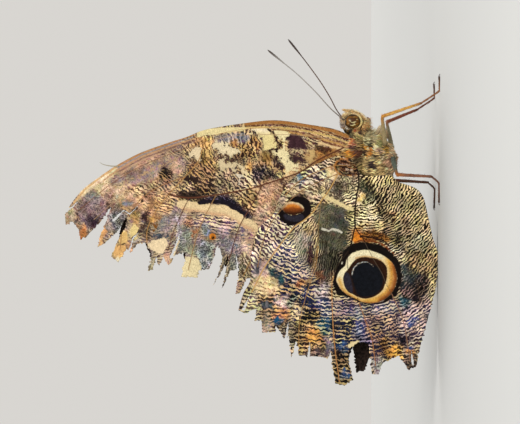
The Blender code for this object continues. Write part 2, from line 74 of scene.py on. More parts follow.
# Body sections: place along the body, underside, top and half width
THORAX_SECTIONS = (
    (20.0, 16.6, 21.0, 1.5), (19.1, 13.6, 21.6, 2.6), (17.5, 11.4, 22.0, 3.4), (15.5, 10.2, 22.2, 3.8),
    (13.2, 9.8, 21.7, 3.75), (11.2, 10.1, 19.9, 3.2), (9.7, 10.8, 17.2, 2.6), (8.9, 11.3, 15.6, 2.05))
HEAD_SECTIONS = (
    (20.3, 18.3, 22.1, 1.3), (20.8, 17.9, 22.7, 1.9), (21.8, 17.6, 23.1, 2.25), (22.9, 17.7, 23.1, 2.15),
    (23.7, 18.3, 22.7, 1.6), (24.2, 19.2, 21.8, 0.9))

# Wing outlines: leading edge from the root, torn outer edge, inner edge back to the root
FORE_LEADING = (
    (19.2, 20.8), (20.3, 22.7), (21.3, 25.7), (22.2, 31.0), (23.0, 36.2), (23.2, 40.0), (22.8, 44.2),
    (21.8, 51.2), (20.8, 56.2), (19.2, 60.2), (18.0, 64.0), (15.4, 71.3), (12.4, 77.0), (9.8, 80.9),
    (6.8, 84.9), (3.6, 87.6), (0.8, 89.4))
FORE_TORN = (
    (-1.9, 89.2), (-1.1, 87.6), (-2.9, 86.1), (-5.5, 85.7), (-4.6, 84.1), (-1.1, 80.8), (2.4, 78.3),
    (-1.1, 79.5), (-4.6, 81.0), (-7.3, 81.6), (-5.5, 78.9), (-3.0, 76.4), (0.2, 74.5), (-2.6, 74.9),
    (-5.6, 76.7), (-9.5, 78.3), (-10.9, 76.6), (-7.6, 74.6), (-8.6, 73.7), (-6.4, 71.9), (-6.1, 70.0),
    (-8.7, 68.6), (-12.9, 69.5), (-12.6, 68.2), (-9.3, 67.6), (-11.7, 66.8), (-9.5, 65.8), (-11.6, 64.5),
    (-9.1, 62.9), (-8.5, 60.3), (-14.4, 61.5), (-14.5, 57.5), (-12.8, 57.3), (-12.5, 54.8), (-9.6, 53.6),
    (-6.8, 52.8), (-8.4, 52.0), (-9.6, 51.6), (-12.6, 52.2), (-16.6, 53.9), (-12.6, 51.5), (-9.8, 50.6),
    (-9.2, 50.0), (-12.4, 50.7), (-17.2, 51.8), (-12.9, 49.8), (-12.5, 47.6), (-18.5, 48.5), (-18.2, 47.4),
    (-14.8, 45.9))
FORE_INNER = (
    (-14.5, 43.6), (-8.0, 38.4), (0.0, 32.0), (8.0, 25.6), (13.5, 21.4), (16.2, 20.0), (18.0, 19.9))
HIND_LEADING = (
    (14.2, 21.6), (14.5, 24.6), (12.2, 30.1), (10.1, 33.7), (7.7, 36.2), (4.2, 38.1), (0.6, 39.4),
    (-1.5, 41.9), (-4.5, 43.6), (-9.0, 44.7), (-15.0, 44.9), (-18.4, 46.6), (-22.3, 47.8))
HIND_TORN = (
    (-23.1, 46.2), (-22.0, 43.4), (-24.9, 44.0), (-24.6, 42.3), (-27.7, 42.1), (-27.6, 38.9), (-25.9, 38.8),
    (-29.4, 36.7), (-28.4, 35.7), (-33.7, 35.1), (-29.2, 33.8), (-33.2, 33.3), (-33.5, 28.4), (-34.0, 26.4),
    (-32.3, 25.7), (-39.9, 24.6), (-40.4, 22.3), (-39.0, 20.2), (-35.1, 21.3), (-31.6, 21.2), (-29.9, 19.0),
    (-30.2, 16.6), (-37.6, 15.8), (-37.8, 14.3), (-34.9, 13.2), (-33.2, 9.3), (-36.7, 7.0), (-35.8, 5.2),
    (-30.9, 4.2), (-24.0, 2.3), (-18.0, 0.7), (-13.2, 0.0), (-8.6, 0.0))
HIND_INNER = (
    (-5.0, 1.2), (0.4, 2.4), (4.5, 3.4), (6.6, 4.9), (7.6, 7.0), (8.4, 9.5), (9.9, 11.2), (10.0, 13.2),
    (9.8, 16.5), (10.0, 18.2), (11.4, 19.2), (13.2, 19.8))
LEFT_FORE_LEADING = (
    (19.2, 20.8), (20.3, 22.7), (21.3, 25.7), (22.1, 31.0), (22.9, 36.2), (23.1, 40.0), (22.6, 44.2),
    (21.6, 51.2), (20.6, 56.2), (19.0, 60.2), (17.8, 64.0), (15.2, 71.3), (12.1, 77.0), (9.4, 80.9),
    (6.2, 84.9), (3.9, 86.5))
LEFT_FORE_TORN = (
    (1.0, 85.4), (2.2, 83.2), (-1.6, 83.4), (2.6, 79.6), (3.6, 77.4), (-2.8, 79.4), (1.6, 75.6),
    (-6.0, 76.6), (-8.0, 75.4), (-3.2, 72.9), (-5.0, 70.7), (-10.2, 68.6), (-6.0, 66.7), (-9.2, 64.4),
    (-7.0, 61.6), (-12.6, 60.2), (-12.4, 58.4), (-8.6, 56.6), (-11.2, 55.0), (-5.2, 52.4), (-12.0, 51.0),
    (-10.6, 48.4), (-15.6, 47.4), (-14.2, 45.6))
LEFT_HIND_TORN = (
    (-21.6, 46.0), (-19.6, 43.0), (-23.4, 42.7), (-25.4, 40.6), (-23.4, 37.6), (-26.6, 35.7), (-30.2, 33.1),
    (-31.8, 29.0), (-29.2, 26.2), (-35.2, 24.1), (-34.6, 21.4), (-31.0, 20.3), (-37.4, 19.5), (-37.1, 17.6),
    (-33.6, 16.2), (-34.4, 13.8), (-31.4, 12.1), (-31.0, 9.2), (-33.8, 6.7), (-30.9, 4.3), (-24.0, 2.3),
    (-18.0, 0.7), (-13.2, 0.0), (-8.6, 0.0))

# Cracks in the membrane: where one runs and how wide it gapes at its open end
FORE_CRACKS = (
    (((-0.8, 77.8), (0.3, 76.6), (1.6, 75.4), (1.3, 74.6), (0.7, 73.9), (2.0, 72.5), (3.8, 70.8)), 0.32),
    (((1.2, 89.4), (2.4, 87.6), (3.6, 86.3)), 0.5), (((-9.6, 63.9), (-5.5, 62.3), (-2.0, 61.2)), 0.4),
    (((-9.0, 74.2), (-5.0, 73.0), (-3.0, 71.0)), 0.3), (((-12.6, 47.9), (-8.8, 48.4)), 0.3))
HIND_CRACKS = (
    (((-29.4, 36.4), (-24.0, 35.6)), 0.35), (((-33.6, 30.9), (-29.4, 30.6)), 0.3),
    (((-22.2, 46.6), (-18.4, 44.8)), 0.35), (((-35.2, 6.0), (-30.6, 6.4)), 0.3))

LOOSE_FIBRE = ((12.2, 76.6), (12.2, 78.0), (12.4, 79.4), (12.7, 80.4), (13.1, 81.0))

# Wing veins: the route from the root, its width and its colour
TAN_VEIN, BROWN_VEIN, BLACK_VEIN = "#9c7440", "#5a3626", "#17100d"
FORE_VEINS = (
    (((19.6, 23.4), (20.9, 33.7), (21.4, 39.5), (21.1, 46.0), (19.9, 52.5), (18.0, 58.0)), 0.1, "#b98e58"),
    (((18.2, 22.4), (19.6, 33.0), (19.8, 42.0), (19.4, 49.0), (17.8, 56.0), (13.2, 64.2), (9.4, 69.5),
      (5.0, 76.0), (-0.6, 82.4)), 0.12, "#a88a6c"),
    (((17.8, 56.0), (15.0, 64.5), (11.5, 72.5), (7.0, 79.5), (1.6, 86.0)), 0.14, "#7c543c"),
    (((16.6, 22.6), (13.5, 29.0), (11.0, 32.5), (9.3, 37.0), (7.7, 42.0), (6.6, 45.8), (5.3, 53.1),
      (4.6, 59.6), (5.4, 64.6)), 0.34, "#5c3626"),
    (((5.4, 64.6), (9.6, 60.6), (13.4, 57.4), (17.8, 56.0)), 0.2, "#a87c48"),
    (((9.6, 60.6), (7.4, 66.5), (4.0, 71.4), (-1.6, 75.2), (-7.8, 76.2)), 0.2, "#9a7048"),
    (((5.4, 64.6), (2.0, 67.2), (-3.0, 69.6), (-7.4, 69.6)), 0.2, "#a87c48"),
    (((4.6, 59.6), (0.5, 61.6), (-4.2, 63.6), (-8.0, 64.6)), 0.2, BROWN_VEIN),
    (((5.3, 53.1), (0.4, 55.7), (-4.4, 57.7), (-12.6, 59.8)), 0.2, "#97744a"),
    (((7.7, 42.0), (2.8, 44.6), (-2.5, 47.6), (-10.6, 50.1)), 0.24, "#5c3a2c"),
    (((15.6, 22.8), (7.0, 30.6), (-1.0, 38.2), (-9.0, 44.0), (-14.2, 46.6)), 0.2, TAN_VEIN))
HIND_VEINS = (
    (((12.4, 21.4), (12.0, 25.8), (9.0, 32.6), (5.2, 36.6)), 0.2, TAN_VEIN),
    (((10.6, 23.4), (8.2, 28.9), (5.5, 33.7), (1.2, 38.0), (-4.0, 41.3), (-12.0, 43.2)), 0.2, "#8a6844"),
    (((10.6, 23.8), (6.5, 26.0), (4.1, 27.8), (1.2, 29.9), (-0.9, 32.2), (-2.5, 34.5), (-7.0, 38.0),
      (-12.0, 41.5), (-18.0, 44.6)), 0.26, "#c49c5c"),
    (((4.0, 27.9), (-2.0, 28.6), (-7.0, 28.9), (-15.0, 31.0), (-22.0, 35.0), (-27.0, 38.0)), 0.12,
    "#8c7044"),
    (((-7.0, 28.6), (-12.0, 29.4), (-20.0, 31.9), (-26.0, 33.2), (-33.0, 33.3)), 0.16, TAN_VEIN),
    (((11.4, 19.4), (9.2, 18.9), (4.0, 19.6), (0.0, 19.9), (-2.2, 19.8), (-3.4, 20.1), (-6.5, 20.8),
      (-8.0, 21.4)), 0.36, BLACK_VEIN),
    (((-8.0, 21.4), (-12.0, 24.2), (-14.0, 24.9)), 0.2, "#2c2118"),
    (((-14.0, 24.9), (-17.0, 25.4), (-29.0, 24.9), (-39.4, 23.6)), 0.2, "#b8824c"),
    (((-8.0, 21.4), (-11.5, 21.7), (-14.0, 21.0), (-17.0, 20.0), (-20.5, 18.9)), 0.16, "#20150f"),
    (((-20.5, 18.9), (-24.6, 17.4), (-29.2, 15.8), (-35.6, 14.9)), 0.2, "#9c6840"),
    (((-2.2, 19.8), (-3.3, 19.3), (-4.8, 18.2), (-6.0, 17.5)), 0.22, BLACK_VEIN),
    (((-6.0, 17.5), (-7.5, 16.8), (-10.5, 15.2), (-13.5, 13.4), (-16.0, 12.4), (-18.5, 11.0)), 0.12,
    "#55493c"),
    (((-18.5, 11.0), (-25.0, 8.3), (-34.6, 6.6)), 0.2, "#8c6850"),
    (((10.6, 18.6), (6.5, 14.9), (0.0, 11.6), (-9.0, 7.6), (-18.0, 4.6), (-27.0, 4.4)), 0.12, "#3c2c20"))

# How the ripples run on the wings: a place, the angle of its ripples and their spacing
FORE_RIPPLES = (
    ((4, 39), 50, 0.7), ((6, 44), 65, 1.1), ((3.5, 47), 50, 1.0), ((9, 44), 40, 0.95), ((9, 49), 38, 0.9),
    ((8, 54), 55, 0.9), ((13, 43), 25, 1.1), ((17, 46), 5, 1.0), ((13, 55), 35, 0.8), ((16, 55), 20, 0.8),
    ((16, 49), 20, 0.9), ((11, 58), 50, 0.8), ((8, 61), 60, 0.8), ((8, 66), 45, 0.7), ((12, 64), 60, 0.7),
    ((4, 66), 70, 0.7), ((3, 69), 75, 0.8), ((-1, 52), 78, 0.8), ((-1, 57), 88, 0.8), ((-3, 46), 90, 0.9),
    ((-8, 56), 90, 0.5), ((-5, 60), 120, 0.6), ((-12, 50), 160, 0.6), ((-12, 46), 30, 0.8),
    ((2, 83), 60, 0.8), ((10, 72), 115, 0.8), ((6.4, 70.8), 62, 0.9), ((14, 27), 80, 1.0),
    ((17, 29), 60, 0.8), ((18, 34), 70, 0.9))
HIND_RIPPLES = (
    ((-4, 40), 52, 0.95), ((-10, 43), 42, 0.9), ((-10, 37), 62, 0.9), ((-15, 40), 80, 1.0),
    ((-16, 33), 72, 0.95), ((-22, 32), 75, 1.0), ((-22, 38), 85, 0.9), ((-26, 41), 90, 0.8),
    ((-28, 30), 82, 1.0), ((-32, 30), 92, 1.0), ((-19, 28), 72, 1.0), ((-25, 27), 88, 0.9),
    ((-26, 23), 90, 0.95), ((-36, 23), 80, 0.95), ((-27, 18.5), 102, 0.9), ((-23, 19), 95, 0.7),
    ((-23, 14), 100, 0.75), ((-29, 14), 95, 0.9), ((-33, 11), 95, 1.0), ((-24, 10), 108, 0.8),
    ((-33, 6), 95, 0.9), ((-24, 6), 125, 0.75), ((-18, 5), 135, 0.67), ((-12, 4), 140, 0.67),
    ((-5, 5), 133, 0.67), ((-4, 9), 130, 0.67), ((0, 7), 140, 0.67), ((4, 6), 145, 0.67),
    ((3, 10), 147, 0.67), ((7, 9), 165, 0.67), ((8, 12), 155, 0.67), ((6, 13.5), 150, 0.67),
    ((0, 12), 130, 0.67), ((-4, 12), 110, 0.5), ((1, 17), 80, 0.67), ((-1, 15), 100, 0.67),
    ((6, 17), 160, 0.8), ((-4, 17), 85, 0.67), ((5, 21), 115, 0.67), ((8, 22.5), 35, 0.67),
    ((7, 26), 45, 0.9), ((11, 29), 62, 1.0), ((8, 31), 70, 1.0), ((12.5, 27), 70, 0.7), ((6, 33), 75, 0.9),
    ((-1, 21.2), 75, 0.7), ((-1, 25), 170, 0.5), ((-8, 30), 172, 0.5), ((-6, 32), 150, 0.67),
    ((-12, 27), 175, 0.5), ((12, 22), 75, 0.8))

# What the zones of each wing are laid over: light and dark ripples, the share of the dark ones, how
# regular they are, and how frayed the marks are
FORE_BASE = ("#b9a184", "#6e5c58", 0.42, 0.5, 1.9)
HIND_BASE = ("#dcc898", "#3f302c", 0.55, 0.8, 0.5)

# Colour zones of the wings, each laid over the ones before it: an egg shape (middle, half length and
# half height) or a loop, the colours of the light and dark ripples, the share of the dark ones, and
# how regular the ripples are
FORE_ZONES = (
    (((24, 18), (24, 62), (14, 61), (4, 65), (-4, 40), (10, 24)), "#d8bc8a", "#483636", 0.47, 0.45),
    ((8, 52, 2.4, 9), "#d8bc94", "#463636", 0.5, 0.5), ((8.6, 45, 2, 2.6), "#e0caa4", "#4a3434", 0.5, 0.9),
    ((17, 46.4, 3.2, 2.6), "#cca86c", "#3c261c", 0.5, 0.8),
    ((17.6, 43.7, 1.6, 0.8), "#c0905c", "#5a3a28", 0.45, 0.8),
    ((12.6, 45, 1.3, 1.3), "#c4945c", "#70503a", 0.4, 0.5),
    ((13.6, 41.2, 2.6, 1.7), "#dcac64", "#7c5834", 0.36, 0.5),
    ((19, 50, 1.3, 3.6), "#cabcb0", "#857a80", 0.4, 0.5),
    ((19.2, 47.2, 0.9, 1.8), "#a8a4a8", "#6a6874", 0.5, 0.5),
    ((17.9, 48.9, 0.9, 1.1), "#d0a060", "#7c5238", 0.4, 0.6),
    ((13, 55, 4, 1.4), "#d0a86c", "#54382a", 0.46, 0.7),
    ((17.4, 56.2, 1.8, 2.6), "#ecc07c", "#7c5434", 0.38, 0.6),
    ((6.4, 56, 1.7, 3.2), "#a8845c", "#2a1e1a", 0.6, 0.6),
    ((11, 57, 2.8, 3), "#c8a070", "#40302c", 0.5, 0.5),
    ((10.6, 42.6, 2.2, 1.6), "#a89488", "#1c1824", 0.68, 0.5),
    ((9.2, 40.4, 1, 1.6), "#9a8a74", "#1c161a", 0.72, 0.4),
    ((12.6, 61.8, 2, 1.9), "#ac9c94", "#5c5058", 0.48, 0.4),
    ((10, 65.4, 2.6, 1.4), "#b08c6c", "#2a2226", 0.66, 0.6),
    ((7.6, 67.6, 2.2, 1.3), "#f0cca0", "#5c4434", 0.44, 0.6),
    ((4.6, 40, 4, 4.2), "#d4ac8c", "#8c6a56", 0.4, 0.45),
    ((4.4, 45.2, 2.8, 1.8), "#e0bc80", "#5c4232", 0.5, 1),
    ((4.9, 60, 0.9, 3.6), "#4e3c30", "#241a18", 0.7, 0.3),
    ((14.6, 26.6, 2.4, 4), "#b8844c", "#8a5a34", 0.3, 0.2),
    ((14.6, 30.4, 1.8, 1.6), "#b88c5c", "#70482c", 0.4, 0.3),
    ((16.4, 27.6, 1, 1.8), "#6c4a30", "#3c261c", 0.6, 0.3),
    ((17.2, 30.6, 1.8, 1.2), "#e4c098", "#64443a", 0.44, 0.3),
    ((18, 36, 3, 4), "#dcc088", "#6c4c34", 0.35, 0.4),
    ((18, 33.8, 2.6, 2.3), "#e8ccaa", "#54383c", 0.56, 0.1),
    ((3.8, 67, 3, 4.2), "#ecc494", "#806050", 0.42, 0.7),
    ((3.4, 68.6, 1.6, 1.4), "#cc9868", "#84604c", 0.42, 0.4),
    ((-0.8, 67.4, 1.6, 1.7), "#bc905c", "#7c5c3c", 0.32, 0.3),
    ((0.4, 69.7, 1.7, 1.1), "#6c4c44", "#2e2020", 0.7, 0.3),
    ((-3.4, 69.8, 2.4, 0.9), "#9c8468", "#3a2a24", 0.6, 0.2),
    ((-3.2, 66, 2.2, 2.2), "#c0aca0", "#7a7470", 0.4, 0.2),
    ((-1, 64.6, 1.3, 1.7), "#bcaca4", "#7c7c84", 0.42, 0.3),
    ((0, 62.2, 2.2, 1.6), "#ccb4a8", "#8a7474", 0.4, 0.3),
    ((-5.6, 60.4, 3.2, 2.2), "#b8bcac", "#5e645c", 0.48, 0.15),
    ((-4, 62.4, 3.6, 0.8), "#d4c8d0", "#4a4044", 0.5, 0.2),
    ((-1.4, 59.5, 1.7, 1), "#cc986c", "#5a3a28", 0.5, 0.3),
    ((-4, 58.1, 0.7, 0.5), "#dc8e64", "#905038", 0.35, 0.1),
    ((-1.2, 53, 1.9, 6), "#e2c8a8", "#6c5468", 0.46, 1),
    (((3.5, 57.4), (4.2, 56), (4.8, 53.6), (4.8, 50.9), (4, 48.7), (2.1, 46.8), (1, 44.9), (-0.6, 43.4),
      (-1.4, 44), (0, 46.8), (1.6, 49), (2.6, 51), (3, 54)), "#6c5f74", "#18141d", 0.72, 0.15),
    ((-3.2, 55.2, 1.3, 1.3), "#a8aaa8", "#6c7276", 0.42, 0.2),
    (((-6.2, 53.2), (-8, 53.4), (-12.6, 54.4), (-13, 57.8), (-8, 58), (-6, 57)), "#ccd0cc", "#42464a", 0.48,
    0.05),
    ((-7.8, 58.8, 1.8, 1.3), "#bcbca0", "#74746a", 0.42, 0.1),
    ((-6, 51.5, 3.2, 1.6), "#a89c98", "#504c54", 0.5, 0.15),
    ((-7.4, 49.2, 2.2, 1.5), "#b0a09c", "#685868", 0.48, 0.2),
    ((-5, 45.6, 4, 2.2), "#f0d0b0", "#ac9090", 0.32, 0.5),
    ((-6.2, 48.2, 2.2, 1.2), "#b49890", "#645660", 0.5, 0.2),
    ((-3.2, 46.4, 0.6, 1.1), "#a898a8", "#7c6c88", 0.6, 0.1),
    ((-6.4, 49.8, 1.6, 1.6), "#a49ca0", "#625e6c", 0.5, 0.2),
    ((-12, 46.4, 3, 1.4), "#ccc098", "#4a4032", 0.5, 0.5),
    ((-11.4, 48.8, 2, 1.1), "#bcbcb4", "#4c504c", 0.5, 0.2),
    ((-13.6, 51.6, 4, 1.8), "#b4a084", "#504c4a", 0.5, 0.3),
    ((1.6, 82.6, 4, 3.8), "#a48c8c", "#685058", 0.42, 0.1),
    ((4.9, 83, 1.4, 2.2), "#a0988c", "#7c7470", 0.4, 0.1),
    ((-1, 82.1, 1.5, 2), "#66505a", "#33242c", 0.6, 0.1),
    ((-1.2, 84.4, 1.4, 0.6), "#6c5c68", "#4c3c48", 0.5, 0.1),
    ((-4, 85, 1.8, 1.1), "#d49054", "#9a5e34", 0.28, 0.1),
    ((-0.6, 88.2, 2, 1.4), "#ecd2b0", "#b89878", 0.3, 0.1),
    ((1.4, 87.8, 1.4, 0.9), "#e0cca4", "#8c7868", 0.4, 0.1),
    ((0.6, 86.6, 2, 0.5), "#b4947e", "#786058", 0.5, 0.1),
    ((12, 70, 4, 9), "#c8a488", "#967a6c", 0.35, 0.2), ((7, 79.6, 2, 2.6), "#f4d8b0", "#b89878", 0.3, 0.1),
    ((4.2, 78, 2.6, 2), "#c4a488", "#7c6250", 0.44, 0.3),
    (((4.2, 86.2), (5.8, 86.6), (12.3, 77.4), (10.2, 77.4), (8, 80.4), (6.4, 83.4)), "#faeac4", "#e4c8a0",
    0.2, 0.1),
    ((4, 76.6, 1.3, 0.5), "#e4e0d4", "#a8a098", 0.4, 0.1),
    ((6.2, 75, 1.7, 3.4), "#f2d0ac", "#cca888", 0.3, 0.1),
    (((7.8, 78), (9.4, 76.6), (12.4, 69), (14.8, 62.6), (11.6, 64.4), (8.6, 70.6), (7.8, 75)), "#b8a094",
    "#93797c", 0.4, 0.05),
    ((2.8, 74.6, 2.2, 1.9), "#d4a97c", "#9a7c64", 0.4, 0.2),
    ((3.2, 74.4, 0.7, 0.9), "#a0a0a2", "#80848c", 0.4, 0.1),
    ((4.6, 71.4, 2.2, 1.6), "#ecc09a", "#b08468", 0.35, 0.6),
    ((6.8, 71.4, 1.6, 3), "#f0cca2", "#94705a", 0.42, 0.9),
    ((-4, 80.4, 3, 0.8), "#ecb876", "#b8864e", 0.15, 0.1),
    ((-1, 77, 2.8, 2.1), "#a8a4a4", "#3c383e", 0.52, 0.1),
    ((-2.4, 78.9, 2, 0.6), "#ccbcac", "#8c7c74", 0.4, 0.1),
    ((-8.6, 76.4, 1.9, 1.6), "#f0c480", "#caa060", 0.12, 0.1),
    ((-4.6, 75.2, 2, 1.1), "#f0d284", "#c8a460", 0.12, 0.1),
    ((-3.3, 72.6, 2, 1.1), "#ecd89c", "#d0b07c", 0.15, 0.1),
    ((-7.4, 73.7, 1.6, 0.5), "#e0ac7c", "#b08058", 0.2, 0.1),
    ((-5.6, 72, 0.6, 1.2), "#e0d8cc", "#a09c98", 0.4, 0.1),
    ((-0.5, 72.4, 2, 1.3), "#bc9860", "#7c6044", 0.38, 0.2),
    ((-11, 68.8, 2.2, 0.8), "#dcd0b4", "#706858", 0.4, 0.1),
    ((-8, 69.1, 1.5, 0.6), "#d0c8b0", "#807868", 0.4, 0.1),
    ((-10.2, 65.2, 1.4, 1), "#e4bc98", "#a88470", 0.3, 0.1),
    ((-0.4, 41.8, 2.8, 2), "#f0cca6", "#a08070", 0.36, 0.5),
    ((10.8, 34.6, 2, 2), "#f0cc98", "#a88058", 0.3, 0.4),
    ((-3, 51.2, 1.5, 1.7), "#f4d8cc", "#98808c", 0.36, 0.4),
    ((10.4, 65.2, 2.4, 1.5), "#a88660", "#1e191c", 0.62, 0.7))
